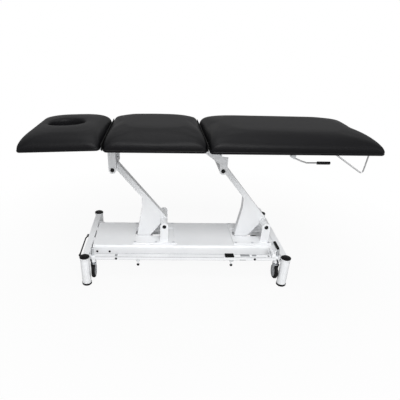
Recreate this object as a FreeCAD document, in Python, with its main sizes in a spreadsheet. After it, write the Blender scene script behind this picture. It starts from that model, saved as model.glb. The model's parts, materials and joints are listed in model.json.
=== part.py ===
import FreeCAD, Part
import math
import os
import re
import Sketcher

# Driving dimensions, in millimetres and degrees, as they stand in the sheet.
SIZES = {
    "table_length": 1990,
    "table_width": 686,
    "table_height": 954,
    "head_length": 450,
    "middle_length": 564,
    "section_gap": 12,
    "cushion_height": 86,
    "board_height": 12,
    "board_inset": 30,
    "board_lip_head": 9,
    "board_lip_leg": 6,
    "head_droop": 2,
    "cushion_corner": 42,
    "hem_inset": 5,
    "hem_height": 10,
    "shoulder_height": 36,
    "edge_radius": 36,
    "crown_inset": 75,
    "crown_height": 80,
    "top_inset": 135,
    "face_hole_length": 205,
    "face_hole_width": 172,
    "face_hole_from_end": 216,
    "post_diameter": 57,
    "post_inset": 12,
    "post_behind": 498,
    "post_ahead": 89,
    "post_bore": 50,
    "post_bottom": 12,
    "post_top": 200,
    "collar_diameter": 64,
    "collar_height": 6,
    "cap_diameter": 62,
    "cap_rim_height": 5,
    "cap_dome_height": 8,
    "cap_dome_high_share": 0.85,
    "cap_dome_wide_share": 0.5,
    "cap_plug_depth": 14,
    "foot_diameter": 61,
    "foot_top": 16,
    "foot_bevel": 4,
    "fit_clearance": 0.3,
    "rail_top": 196,
    "end_rail_width": 40,
    "end_rail_height": 40,
    "tube_wall": 3,
    "rail_inset": 31,
    "side_rail_width": 40,
    "side_rail_height": 20,
    "strut_inset": 46,
    "strut_diameter": 18,
    "strut_clearance": 0.05,
    "sleeve_height": 42,
    "sleeve_diameter": 40,
    "rail_tab_width": 10,
    "cover_half_width": 178,
    "cover_left_gap": 29,
    "cover_right_gap": 43,
    "cover_skirt": 68,
    "cover_sheet": 3,
    "cover_edge_radius": 16,
    "slot_half_width": 33,
    "slot_reach_left": 196,
    "slot_reach_right": 30,
    "chassis_inner": 62,
    "chassis_width": 38,
    "chassis_height": 40,
    "tie_width": 30,
    "tie_height": 30,
    "tie_gap": 30,
    "tie_start": 10,
    "tie_end_gap": 1.5,
    "pivot_rise": 115.7,
    "upper_pivot_drop": 163.1,
    "upper_pivot_in": 22,
    "upper_pivot_past": 119,
    "arm_reach": 320,
    "axle_diameter": 20,
    "axle_clearance": 0.05,
    "axle_head_diameter": 25,
    "axle_head_height": 6,
    "cheek_outer": 128,
    "cheek_sheet": 8,
    "cheek_clearance": 0.6,
    "lower_cheek_half": 26.5,
    "base_plate_long_side": 82,
    "base_plate_short_side": 42,
    "base_plate_border": 12,
    "base_plate_outer": 152,
    "base_plate_inner": 75,
    "base_plate_sheet": 8,
    "rib_reach": 34,
    "rib_height": 52,
    "rib_sheet": 6,
    "boss_diameter": 44,
    "boss_low_share": 0.25,
    "arm_half_width": 25,
    "arm_half_height": 17.5,
    "arm_offset": 8,
    "arm_sheet": 4,
    "arm_hollow_low_share": 0.12,
    "arm_hollow_high_share": 0.93,
    "gusset_open_x": -40,
    "gusset_open_z": -52,
    "gusset_top_share": 0.4455,
    "gusset_waist_x": -149,
    "gusset_waist_z": 88,
    "gusset_foot_x": -185,
    "gusset_foot_z": -122,
    "gusset_heel_x": -99,
    "gusset_heel_z": -122,
    "gusset_root_x": -16,
    "gusset_root_z": -14,
    "gusset_toe_z": -150,
    "gusset_toe_x": -168,
    "gusset_tail_x": -108,
    "gusset_tail_z": -154,
    "lug_radius": 205,
    "lug_angle": 23,
    "lug_boss_radius": 17,
    "lug_tangent_share": 0.7,
    "lug_pin_diameter": 16,
    "lug_side_x": -70,
    "lug_side_z": -150,
    "fork_clearance": 3,
    "fork_sheet": 8,
    "fork_rod_side": 26,
    "fork_free_side": 20,
    "fork_below": 29,
    "fork_above": 31,
    "fork_slot_play": 1.5,
    "fork_slot_below": 21,
    "fork_slot_above": 23,
    "fork_block": 20,
    "push_rod_diameter": 24,
    "push_rod_drop": 6,
    "push_rod_length": 225,
    "motor_from_pivot": 147,
    "motor_tube_length": 250,
    "motor_tube_diameter": 46,
    "motor_bore": 25,
    "motor_diameter": 54,
    "motor_length": 62,
    "motor_inset": 12,
    "hanger_sheet": 6,
    "hanger_below": 29,
    "frame_rail_inner": 128,
    "frame_rail_width": 30,
    "frame_rail_height": 30,
    "frame_inset_head": 1,
    "frame_inset_leg": 3,
    "cross_tube_in": 103,
    "cross_tube_back": 97,
    "hinge_drop": 16,
    "head_hinge_back": 3,
    "leg_hinge_ahead": 7,
    "hinge_pin_diameter": 12,
    "hinge_boss_radius": 13,
    "hinge_plate_neck": 28,
    "leg_plate_neck": 42,
    "hinge_plate_gap": 1.5,
    "upper_cheek_half": 23,
    "flexion_corner_in": 16,
    "flexion_corner_drop": 75,
    "flexion_end_drop": 80,
    "cheek_waist_drop": 94,
    "hinge_pin_clearance": 0.05,
    "ear_sheet": 8,
    "ear_gap": 1,
    "section_rail_y": 165,
    "section_rail_width": 30,
    "section_rail_height": 25,
    "section_rail_start": 14,
    "section_rail_end": 34,
    "section_cross_width": 24,
    "section_tube_wall": 2.5,
    "head_cross_offset": 20,
    "leg_cross_offset": 155,
    "strut_lug_ahead": 40,
    "strut_lug_drop": 74,
    "strut_lug_flare": 21,
    "strut_lug_half": 7,
    "strut_lug_sheet": 6,
    "strut_lug_radius": 14,
    "gas_pin_diameter": 10,
    "gas_eye_play": 1.8,
    "gas_eye_radius": 13,
    "gas_eye_half": 6,
    "gas_span": 320,
    "gas_tube_diameter": 28,
    "gas_tube_start": 10,
    "gas_tube_length": 150,
    "gas_bore": 10.4,
    "gas_rod_diameter": 10,
    "gas_rod_in": 60,
    "gas_bracket_half": 7,
    "gas_bracket_sheet": 5,
    "gas_bracket_width": 16,
    "fitting_inset": 43,
    "lever_pivot_back": 483,
    "lever_pivot_drop": 21,
    "lever_bend_ahead": 48,
    "lever_bend_drop": 44,
    "lever_low_ahead": 78,
    "lever_low_drop": 53,
    "lever_reach": 204,
    "lever_grip_ahead": 134,
    "lever_grip_reach": 208,
    "lever_grip_bevel": 2,
    "lever_rod_diameter": 8,
    "lever_grip_diameter": 17,
    "lever_hub_radius": 8,
    "lever_hub_half": 7,
    "lever_mount_half": 18,
    "lever_mount_sheet": 4,
    "lever_bolt_diameter": 6,
    "holder_left_back": 255,
    "holder_foot_back": 79,
    "holder_foot_drop": 114,
    "holder_right_back": 71,
    "holder_wire": 8,
    "holder_bend": 12,
    "holder_plate_length": 22,
    "holder_plate_width": 26,
    "holder_plate_sheet": 3,
    "pedal_back": 73,
    "pedal_above": 17,
    "pedal_outer": 14,
    "pedal_inner": 60,
    "pedal_reach": 17,
    "pedal_rise": 49,
    "pedal_shaft_diameter": 14,
    "pedal_plate_sheet": 5,
    "pedal_grip_diameter": 18,
    "pedal_grip_over": 6,
    "pedal_grip_bevel": 3,
    "pedal_base_sheet": 4,
    "pedal_ear_sheet": 5,
    "pedal_ear_half": 13,
    "pedal_hub_radius": 11,
    "pedal_gap": 1,
    "wheel_diameter": 98,
    "wheel_width": 22,
    "wheel_bottom": 37,
    "wheel_axle_diameter": 8,
    "wheel_side_gap": 1.5,
    "fork_leg_sheet": 3,
    "crown_sheet": 4,
    "crown_gap": 4,
    "crown_half": 22,
    "fork_foot_radius": 8,
    "wheel_clearance": 0.05,
    "strut_above": 52,
    "tread_shoulder": 5,
    "bar_ahead": 38,
    "bar_drop": 8,
    "bar_near_inset": 45,
    "bar_hub_ahead": 27,
    "bar_bend": 24,
    "bar_diameter": 9,
    "bar_bend_y": -62,
    "bar_hub_y": -24,
    "bar_hub_radius": 10,
    "bar_pin_diameter": 10,
    "bar_pin_clearance": 0.05,
    "bar_tip_radius": 7,
    "bar_pin_over": 5,
    "bar_washer_sheet": 2,
    "bar_washer_radius": 6.5,
    "bar_hub_half": 5,
    "toe_left_in": 331,
    "toe_right_in": 335,
    "toe_top_drop": 32,
    "toe_tip_drop": 62,
    "toe_over": 8,
    "toe_rod_diameter": 8,
    "toe_tip_radius": 7,
    "toe_slant": 3,
    "toe_hub_radius": 6,
    "toe_hub_half": 8,
    "toe_ear_sheet": 3,
    "toe_ear_gap": 0.6,
    "toe_pin_diameter": 5,
    "tread_back": 379,
    "tread_length": 56,
    "tread_height": 5,
    "tread_rib_height": 2,
    "tread_rib_width": 3,
    "tread_rib_pitch": 9,
    "tread_over": 22,
    "tread_pivot_in": 15,
    "tread_lift": 3,
    "tread_hub_radius": 4,
    "tread_ear_sheet": 4,
    "tread_gap": 0.6,
    "tread_pin_diameter": 3,
    "bore_over": 10,
    "far_strut_inset": 96,
    "far_strut_above": 77,
    "far_strut_below": 9,
    "far_sleeve_above": 72,
    "far_sleeve_gap": 9,
    "far_sleeve_diameter": 24,
    "far_bracket_sheet": 12,
    "far_bracket_rise": 20,
    "far_bracket_lift": 15,
    "far_wheel_offset": 24,
    "far_washer_radius": 8,
}

# Levels and places that several pieces share.
PLACES = {
    "seat_z": "(table_height - cushion_height - board_height)",
    "board_top": "(table_height - cushion_height)",
    "half_width": "(table_width / 2)",
    "head_left": "(-table_length / 2)",
    "head_right": "(head_left + head_length)",
    "middle_left": "(head_right + section_gap)",
    "middle_right": "(middle_left + middle_length)",
    "leg_left": "(middle_right + section_gap)",
    "leg_right": "(table_length / 2)",
    "frame_left": "(middle_left + frame_inset_head)",
    "frame_right": "(middle_right - frame_inset_leg)",
    "cross_left": "(middle_left + cross_tube_in)",
    "cross_right": "(middle_right - cross_tube_back)",
    "head_hinge_x": "(head_right - head_hinge_back)",
    "leg_hinge_x": "(leg_left + leg_hinge_ahead)",
    "hinge_z": "(seat_z - hinge_drop)",
    "strut_lug_x": "(leg_hinge_x + strut_lug_ahead)",
    "strut_lug_z": "(seat_z - strut_lug_drop)",
    "gas_mount_x": "(strut_lug_x - gas_span)",
    "upper_x": "(middle_left + upper_pivot_in)",
    "upper_z": "(seat_z - upper_pivot_drop)",
    "pivot_spacing": "(leg_left + upper_pivot_past - upper_x)",
    "lower_pivot_x": "(upper_x + arm_reach)",
    "lower_pivot_z": "(rail_top + pivot_rise)",
    "arm_rise": "(upper_z - lower_pivot_z)",
    "lug_x": "(lower_pivot_x - lug_radius * sin(lug_angle))",
    "lug_z": "(lower_pivot_z - lug_radius * cos(lug_angle))",
    "push_rod_z": "(lug_z - push_rod_drop)",
    "motor_tube_left": "(lower_pivot_x + motor_from_pivot)",
    "cheek_inner": "(cheek_outer - cheek_sheet)",
    "left_post": "(lower_pivot_x - post_behind)",
    "right_post": "(lower_pivot_x + pivot_spacing + post_ahead)",
    "left_strut": "(left_post + strut_inset)",
    "right_strut": "(right_post - strut_inset)",
    "post_side": "(half_width - post_inset)",
    "side_rail_y": "(post_side - rail_inset)",
    "cover_left": "(left_post + cover_left_gap)",
    "cover_right": "(right_post - cover_right_gap)",
    "cover_bottom": "(rail_top - cover_skirt)",
    "fitting_y": "(half_width - fitting_inset)",
    "lever_pivot_x": "(leg_right - lever_pivot_back)",
    "lever_pivot_z": "(seat_z - lever_pivot_drop)",
    "lever_low_z": "(seat_z - lever_low_drop)",
    "lever_end_x": "(lever_pivot_x + lever_reach)",
    "grip_start": "(lever_pivot_x + lever_grip_ahead)",
    "grip_end": "(lever_pivot_x + lever_grip_reach)",
    "pedal_x": "(right_post - pedal_back)",
    "pedal_z": "(rail_top + pedal_above)",
    "pedal_y_near": "(-side_rail_y - pedal_outer)",
    "pedal_y_far": "(-side_rail_y + pedal_inner)",
    "pedal_top_x": "(pedal_x + pedal_reach)",
    "pedal_top_z": "(pedal_z + pedal_rise)",
    "strut_top": "(rail_top + strut_above)",
    "wheel_z": "(wheel_bottom + wheel_diameter / 2)",
    "far_strut_y": "(post_side - far_strut_inset)",
    "far_strut_top": "(wheel_z + far_strut_above)",
    "far_strut_bottom": "(wheel_z - far_strut_below)",
    "far_sleeve_top": "(wheel_z + far_sleeve_above)",
    "far_sleeve_bottom": "(wheel_z + far_sleeve_gap)",
    "far_bracket_low": "(far_sleeve_bottom + far_bracket_lift)",
    "bar_x": "(left_post - bar_ahead)",
    "bar_hub_x": "(left_post - bar_hub_ahead)",
    "bar_z": "(rail_top - bar_drop)",
    "toe_left_x": "(left_post + toe_left_in)",
    "toe_right_x": "(right_post - toe_right_in)",
    "toe_top_z": "(rail_top - toe_top_drop)",
    "toe_tip_z": "(rail_top - toe_tip_drop)",
    "toe_y": "(-side_rail_y - toe_over)",
    "tread_left": "(right_post - tread_back)",
    "tread_front": "(-side_rail_y - tread_over)",
    "tread_pivot_y": "(-side_rail_y + tread_pivot_in)",
}

doc = FreeCAD.newDocument("treatment_table")
sizes = doc.addObject("Spreadsheet::Sheet", "sizes")
for row, (alias, value) in enumerate(SIZES.items(), 1):
    sizes.set("A%d" % row, alias)
    sizes.set("B%d" % row, str(value))
    sizes.setAlias("B%d" % row, alias)
doc.recompute()

WORD = re.compile(r"[a-z][a-z_]*[a-z]")
NODES = {}


def named(text):
    """Writes out the shared places, and the sheet's name before each of its aliases."""
    def full(match):
        word = match.group()
        if word in PLACES:
            return named(PLACES[word])
        return "sizes." + word if word in SIZES else word
    return WORD.sub(full, text)


def num(text):
    """Works out a length or angle from the sheet."""
    answer = sizes.evalExpression(named(text))
    return float(getattr(answer, "Value", answer))


def bind(thing, prop, text):
    thing.setExpression(prop, named(text))


def body(label):
    made = doc.addObject("PartDesign::Body", label)
    made.Label = label
    return made


def on_plane(host, plane, level):
    """An empty sketch on one of the body's origin planes, moved to a level along its normal."""
    sketch = host.newObject("Sketcher::SketchObject", host.Name + "_sketch")
    origin = [p for p in host.Origin.OriginFeatures if p.Role == plane][0]
    sketch.AttachmentSupport = (origin, [""])
    sketch.MapMode = "FlatFace"
    bind(sketch, "AttachmentOffset.Base.z", level)
    return sketch


def hold(sketch, index, point, across, up):
    """Pins one point of a sketch to its two named distances from the origin."""
    for kind, text in (("DistanceX", across), ("DistanceY", up)):
        number = sketch.addConstraint(
            Sketcher.Constraint(kind, -1, 1, index, point, num(text)))
        bind(sketch, "Constraints[%d]" % number, text)


def draw(sketch, points):
    """Adds one closed outline of straight sides through named points."""
    first = sketch.GeometryCount
    spots = [FreeCAD.Vector(num(a), num(b), 0) for a, b in points]
    count = len(points)
    for i in range(count):
        sketch.addGeometry(Part.LineSegment(spots[i], spots[(i + 1) % count]), False)
    for i in range(count):
        sketch.addConstraint(Sketcher.Constraint(
            "Coincident", first + i, 2, first + (i + 1) % count, 1))
    for i, (a, b) in enumerate(points):
        hold(sketch, first + i, 1, a, b)


def ring(sketch, across, up, radius):
    """Adds one circle with a named centre and radius."""
    centre = FreeCAD.Vector(num(across), num(up), 0)
    index = sketch.addGeometry(Part.Circle(centre, FreeCAD.Vector(0, 0, 1), num(radius)), False)
    hold(sketch, index, 3, across, up)
    number = sketch.addConstraint(Sketcher.Constraint("Radius", index, num(radius)))
    bind(sketch, "Constraints[%d]" % number, radius)


def box_points(left, right, low, high):
    return [(left, low), (right, low), (right, high), (left, high)]


def feature(host, kind, sketch, length):
    made = host.newObject("PartDesign::" + kind, host.Name + "_" + kind.lower())
    made.Profile = sketch
    if kind in ("Pad", "Pocket"):
        bind(made, "Length", length)
    doc.recompute()
    return made


def swing(host, kind, sketch):
    """A full turn of a sketch about its own upright axis, or about its level one for wheels."""
    made = host.newObject("PartDesign::" + kind, host.Name + "_" + kind.lower())
    made.Profile = sketch
    made.ReferenceAxis = (sketch, ["V_Axis"])
    made.Angle = 360
    doc.recompute()
    return made


def plate(host, outline, low, high, plane="XZ_Plane", kind="Pad"):
    """Adds or cuts a plate between two levels along a plane's normal."""
    if plane == "XZ_Plane":
        level, thick = "-(%s)" % high, "(%s) - (%s)" % (high, low)
    else:
        level, thick = low, "(%s) - (%s)" % (high, low)
    sketch = on_plane(host, plane, level)
    for part in outline:
        if len(part) == 3 and not isinstance(part[0], tuple):
            ring(sketch, *part)
        else:
            draw(sketch, part)
    doc.recompute()
    made = feature(host, kind, sketch, thick)
    if kind == "Pocket":
        made.Reversed = True
        doc.recompute()
    return made


def rounding(host, radius, pick):
    """Rounds the edges of the body's tip that pick chooses."""
    tip = host.Tip
    chosen = ["Edge%d" % (i + 1) for i, edge in enumerate(tip.Shape.Edges) if pick(edge)]
    made = host.newObject("PartDesign::Fillet", host.Name + "_rounding")
    made.Base = (tip, chosen)
    bind(made, "Radius", radius)
    doc.recompute()
    return made


def bevel(host, size, pick):
    """Cuts back the edges of the body's tip that pick chooses."""
    tip = host.Tip
    chosen = ["Edge%d" % (i + 1) for i, edge in enumerate(tip.Shape.Edges) if pick(edge)]
    made = host.newObject("PartDesign::Chamfer", host.Name + "_bevel")
    made.Base = (tip, chosen)
    bind(made, "Size", size)
    doc.recompute()
    return made


def along(edge, axis):
    """True for a straight edge that runs along one axis."""
    if not isinstance(edge.Curve, Part.Line):
        return False
    return abs(abs(getattr(edge.Curve.Direction, axis)) - 1) < SAME


def keep(label, made):
    NODES[label] = made


SAME = 1e-3


def revolve(label, profile, x, y, keep_it=True):
    """A piece of revolution about an upright axis at a named place."""
    host = body(label)
    sketch = on_plane(host, "XZ_Plane", "0")
    draw(sketch, [(a, b) for a, b in profile])
    doc.recompute()
    swing(host, "Revolution", sketch)
    bind(host, "Placement.Base.x", x)
    bind(host, "Placement.Base.y", y)
    if keep_it:
        keep(label, host)
    return host


def tube_along_x(host, left, right, y0, y1, z0, z1, wall="tube_wall"):
    """A square tube that runs along X, open at both ends."""
    plate(host, [box_points(y0, y1, z0, z1)], left, right, "YZ_Plane")
    inner = box_points(y0 + " + " + wall, y1 + " - " + wall, z0 + " + " + wall, z1 + " - " + wall)
    cut = plate(host, [inner], left, right, "YZ_Plane", "Pocket")
    return cut


# Base: end frames.
SIDES = (("near", "-1"), ("far", "1"))
ENDS = (("left", "-1"), ("right", "1"))

for end, turn in ENDS:
    frame = body("end_frame_" + end)
    post_x = end + "_post"
    posts = [(post_x, "%s * post_side" % s, "post_diameter / 2") for _, s in SIDES]
    collars = [(post_x, "%s * post_side" % s, "collar_diameter / 2") for _, s in SIDES]
    bores = [(post_x, "%s * post_side" % s, "post_bore / 2") for _, s in SIDES]
    rail = box_points(post_x + " - end_rail_width / 2", post_x + " + end_rail_width / 2",
                      "-post_side", "post_side")
    plate(frame, [rail], "rail_top - end_rail_height", "rail_top", "XY_Plane")
    plate(frame, posts, "post_bottom", "post_top", "XY_Plane")
    plate(frame, collars, "post_top - collar_height", "post_top", "XY_Plane")
    plate(frame, bores, "post_bottom", "post_top", "XY_Plane", "Pocket")
    hollow = box_points(post_x + " - end_rail_width / 2 + tube_wall",
                        post_x + " + end_rail_width / 2 - tube_wall",
                        "-post_side + post_diameter / 2 + tube_wall",
                        "post_side - post_diameter / 2 - tube_wall")
    plate(frame, [hollow], "rail_top - end_rail_height", "rail_top - tube_wall",
          "XY_Plane", "Pocket")
    keep("end_frame_" + end, frame)
    for side, sign in SIDES:
        spot = "%s * post_side" % sign
        cap = [("0", "post_top - cap_plug_depth"),
               ("post_bore / 2 - fit_clearance", "post_top - cap_plug_depth"),
               ("post_bore / 2 - fit_clearance", "post_top"),
               ("cap_diameter / 2", "post_top"),
               ("cap_diameter / 2", "post_top + cap_rim_height"),
               ("cap_diameter / 2 - cap_dome_height", "post_top + cap_rim_height + cap_dome_height / 2"),
               ("cap_diameter / 2 * cap_dome_wide_share",
                "post_top + cap_rim_height + cap_dome_height * cap_dome_high_share"),
               ("0", "post_top + cap_rim_height + cap_dome_height")]
        revolve("post_cap_%s_%s" % (end, side), cap, post_x, spot)
        foot = [("0", "0"),
                ("foot_diameter / 2 - foot_bevel", "0"),
                ("foot_diameter / 2", "foot_bevel"),
                ("foot_diameter / 2", "foot_top"),
                ("post_diameter / 2 + fit_clearance", "foot_top"),
                ("post_diameter / 2 + fit_clearance", "post_bottom - fit_clearance"),
                ("0", "post_bottom - fit_clearance")]
        revolve("foot_%s_%s" % (end, side), foot, post_x, spot)

# Base: the near rail, with a guide sleeve at each end for its casters.
rail = body("side_rail_near")
tube_along_x(rail, "left_strut", "right_strut", "-side_rail_y - side_rail_width / 2",
             "-side_rail_y + side_rail_width / 2", "rail_top - side_rail_height", "rail_top")
tab_y = ("-side_rail_y - rail_tab_width / 2", "-side_rail_y + rail_tab_width / 2")
plate(rail, [box_points("left_post + end_rail_width / 2", "left_strut", *tab_y),
             box_points("right_strut", "right_post - end_rail_width / 2", *tab_y)],
      "rail_top - side_rail_height", "rail_top", "XY_Plane")
plate(rail, [(end + "_strut", "-side_rail_y", "sleeve_diameter / 2") for end, _ in ENDS],
      "rail_top - sleeve_height", "rail_top", "XY_Plane")
plate(rail, [(end + "_strut", "-side_rail_y", "strut_diameter / 2 + strut_clearance")
             for end, _ in ENDS],
      "rail_top - sleeve_height", "rail_top", "XY_Plane", "Pocket")
keep("side_rail_near", rail)

# Base: brackets on the end frames that guide the far casters.
for end, turn in ENDS:
    frame = NODES["end_frame_" + end]
    under = "rail_top - end_rail_height"
    inner_face = "%s_post - %s * end_rail_width / 2" % (end, turn)
    bracket = [(end + "_post", under),
               (inner_face, under), (inner_face, under + " + far_bracket_rise"),
               (end + "_strut", "far_sleeve_top"), (end + "_strut", "far_bracket_low")]
    plate(frame, [bracket], "far_strut_y - far_bracket_sheet / 2",
          "far_strut_y + far_bracket_sheet / 2")
    plate(frame, [(end + "_strut", "far_strut_y", "far_sleeve_diameter / 2")],
          "far_sleeve_bottom", "far_sleeve_top", "XY_Plane")
    plate(frame, [(end + "_strut", "far_strut_y", "strut_diameter / 2 + strut_clearance")],
          "far_sleeve_bottom", "far_sleeve_top + far_bracket_rise", "XY_Plane", "Pocket")

# Base: ladder chassis under the cover.
chassis = body("chassis")
reach_left = "left_post + end_rail_width / 2"
reach_right = "right_post - end_rail_width / 2"
under = "rail_top - cover_sheet"
for side, sign in SIDES:
    edges = [("%s * chassis_inner" % sign), ("%s * (chassis_inner + chassis_width)" % sign)]
    if sign == "-1":
        edges.reverse()
    plate(chassis, [box_points(edges[0], edges[1], under + " - chassis_height", under)],
          reach_left, reach_right, "YZ_Plane")
TIES = ("lower_pivot_x - slot_reach_left - tie_gap - tie_width",
        "motor_tube_left + tie_start",
        "lower_pivot_x + pivot_spacing - slot_reach_left - tie_gap - tie_width",
        "right_post - end_rail_width / 2 - tie_end_gap - tie_width")
for tie in TIES:
    plate(chassis, [box_points(tie, tie + " + tie_width", "-chassis_inner", "chassis_inner")],
          under + " - tie_height", under, "XY_Plane")
for side, sign in SIDES:
    middle = "%s * (chassis_inner + chassis_width / 2)" % sign
    half = "(chassis_width / 2 - tube_wall)"
    hollow = box_points("%s - %s" % (middle, half), "%s + %s" % (middle, half),
                        under + " - chassis_height + tube_wall", under + " - tube_wall")
    plate(chassis, [hollow], reach_left, reach_right, "YZ_Plane", "Pocket")
keep("chassis", chassis)

# Base: folded cover with a long slot for each arm's gusset.
cover = body("platform_cover")
plate(cover, [box_points("-cover_half_width", "cover_half_width", "cover_bottom", "rail_top")],
      "cover_left", "cover_right", "YZ_Plane")
plate(cover, [box_points("-cover_half_width + cover_sheet", "cover_half_width - cover_sheet",
                         "cover_bottom", "rail_top - cover_sheet")],
      "cover_left", "cover_right", "YZ_Plane", "Pocket")
rounding(cover, "cover_edge_radius - cover_sheet",
         lambda e: along(e, "x") and abs(e.CenterOfMass.z - num("rail_top - cover_sheet")) < SAME)
rounding(cover, "cover_edge_radius",
         lambda e: along(e, "x") and abs(e.CenterOfMass.z - num("rail_top")) < SAME)
slots = []
for pivot in ("lower_pivot_x", "(lower_pivot_x + pivot_spacing)"):
    slots.append(box_points(pivot + " - slot_reach_left", pivot + " + slot_reach_right",
                            "-slot_half_width", "slot_half_width"))
plate(cover, slots, "rail_top - cover_sheet", "rail_top", "XY_Plane", "Pocket")
keep("platform_cover", cover)

# Base: brackets that carry the arms.
STATIONS = (("left", "lower_pivot_x"), ("right", "(lower_pivot_x + pivot_spacing)"))
for end, x in STATIONS:
    bracket = body("lower_bracket_" + end)
    reach = "base_plate_long_side" if end == "left" else "base_plate_short_side"
    plate(bracket, [box_points(x + " - slot_reach_left - base_plate_border", x + " + " + reach,
                               "-base_plate_outer", "base_plate_outer")],
          "rail_top", "rail_top + base_plate_sheet", "XY_Plane")
    plate(bracket, [box_points(x + " - slot_reach_left", x + " + %s - base_plate_border" % reach,
                               "-base_plate_inner", "base_plate_inner")],
          "rail_top", "rail_top + base_plate_sheet", "XY_Plane", "Pocket")
    for side, sign in SIDES:
        low, high = "%s * cheek_outer" % sign, "%s * cheek_inner" % sign
        if sign == "1":
            low, high = high, low
        base = "rail_top + base_plate_sheet"
        cheek = box_points(x + " - lower_cheek_half", x + " + lower_cheek_half",
                           base, "lower_pivot_z")
        plate(bracket, [cheek], low, high)
        plate(bracket, [(x, "lower_pivot_z", "lower_cheek_half")], low, high)
        rib = [(x + " - rib_sheet / 2", base), (x + " + rib_sheet / 2", base),
               (x + " + rib_sheet / 2", base + " + rib_height"),
               (x + " - rib_sheet / 2", base + " + rib_height")]
        inner = "%s * (cheek_inner - rib_reach)" % sign
        edge = "%s * cheek_inner" % sign
        if sign == "-1":
            plate(bracket, [rib], edge, inner)
        else:
            plate(bracket, [rib], inner, edge)
        plate(bracket, [(x, "lower_pivot_z", "axle_diameter / 2")], low, high, kind="Pocket")
    keep("lower_bracket_" + end, bracket)


def axle(label, x, z):
    """A pivot pin with a domed black head at each end."""
    pin = body(label)
    plate(pin, [(x, z, "axle_diameter / 2")], "-cheek_outer", "cheek_outer")
    for low, high in (("cheek_outer", "cheek_outer + axle_head_height"),
                      ("-cheek_outer - axle_head_height", "-cheek_outer")):
        plate(pin, [(x, z, "axle_head_diameter / 2")], low, high)
    bevel(pin, "axle_head_height / 2",
          lambda e: abs(abs(e.CenterOfMass.y) - num("cheek_outer + axle_head_height")) < SAME)
    keep(label, pin)


for end, x in STATIONS:
    axle("lower_axle_" + end, x, "lower_pivot_z")
    axle("upper_axle_" + end, "(%s - arm_reach)" % x, "upper_z")

# Lift arms: a box arm with a gusset and two pivot tubes.
for end, x in STATIONS:
    arm = body("lift_arm_" + end)
    length = "sqrt(arm_reach^2 + arm_rise^2)"
    across = "arm_rise / %s" % length
    down = "arm_reach / %s" % length

    def rel(ax, az):
        """A point of the outline, from the lower pivot."""
        return ("(%s) + (%s)" % (x, ax), "lower_pivot_z + (%s)" % az)

    def edge(share, side, sheet="0"):
        """A point beside the pivot line, at a share of its length."""
        gap = "(arm_offset %s (arm_half_height - %s))" % (side, sheet)
        return rel("-arm_reach * %s + %s * %s" % (share, gap, across),
                   "arm_rise * %s + %s * %s" % (share, gap, down))

    outline = [edge("1", "+"), edge("1", "-"),
               edge("gusset_top_share", "-"),
               rel("gusset_waist_x", "gusset_waist_z"),
               rel("gusset_foot_x", "gusset_foot_z")]
    if end == "left":
        outline += [rel("gusset_toe_x", "gusset_toe_z"),
                    rel("-lug_radius * sin(lug_angle) - lug_boss_radius * lug_tangent_share",
                        "-lug_radius * cos(lug_angle) - lug_boss_radius * lug_tangent_share"),
                    rel("-lug_radius * sin(lug_angle) + lug_boss_radius",
                        "-lug_radius * cos(lug_angle)"),
                    rel("lug_side_x", "lug_side_z")]
    else:
        outline += [rel("gusset_toe_x", "gusset_toe_z"),
                    rel("gusset_tail_x", "gusset_tail_z")]
    outline += [rel("gusset_heel_x", "gusset_heel_z"),
                rel("gusset_root_x", "gusset_root_z"),
                rel("0", "-boss_diameter * boss_low_share"),
                edge("0", "+")]
    plate(arm, [outline], "-arm_half_width", "arm_half_width")
    low_share, high_share = "arm_hollow_low_share", "arm_hollow_high_share"
    hollow = [edge("gusset_top_share", "-", "arm_sheet"),
              rel("gusset_waist_x + arm_sheet", "gusset_waist_z"),
              rel("gusset_foot_x + arm_sheet", "gusset_foot_z + arm_sheet"),
              rel("gusset_heel_x + arm_sheet", "gusset_heel_z + arm_sheet"),
              rel("gusset_open_x", "gusset_open_z"),
              edge(low_share, "-", "arm_sheet"), edge(low_share, "+", "arm_sheet"),
              edge(high_share, "+", "arm_sheet"), edge(high_share, "-", "arm_sheet")]
    plate(arm, [hollow], "-arm_half_width + arm_sheet", "arm_half_width - arm_sheet",
          kind="Pocket")
    wide = "cheek_inner - cheek_clearance"
    plate(arm, [(x, "lower_pivot_z", "boss_diameter / 2"),
                ("(%s) - arm_reach" % x, "upper_z", "boss_diameter / 2")],
          "-(%s)" % wide, wide)
    plate(arm, [(x, "lower_pivot_z", "axle_diameter / 2 + axle_clearance"),
                ("(%s) - arm_reach" % x, "upper_z", "axle_diameter / 2 + axle_clearance")],
          "-(%s)" % wide, wide, kind="Pocket")
    if end == "left":
        plate(arm, [("lug_x", "lug_z", "lug_boss_radius")], "-arm_half_width", "arm_half_width")
        pin = "arm_half_width + fork_clearance + fork_sheet * 2"
        plate(arm, [("lug_x", "lug_z", "lug_pin_diameter / 2")], "-(%s)" % pin, pin)
    keep("lift_arm_" + end, arm)

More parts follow.
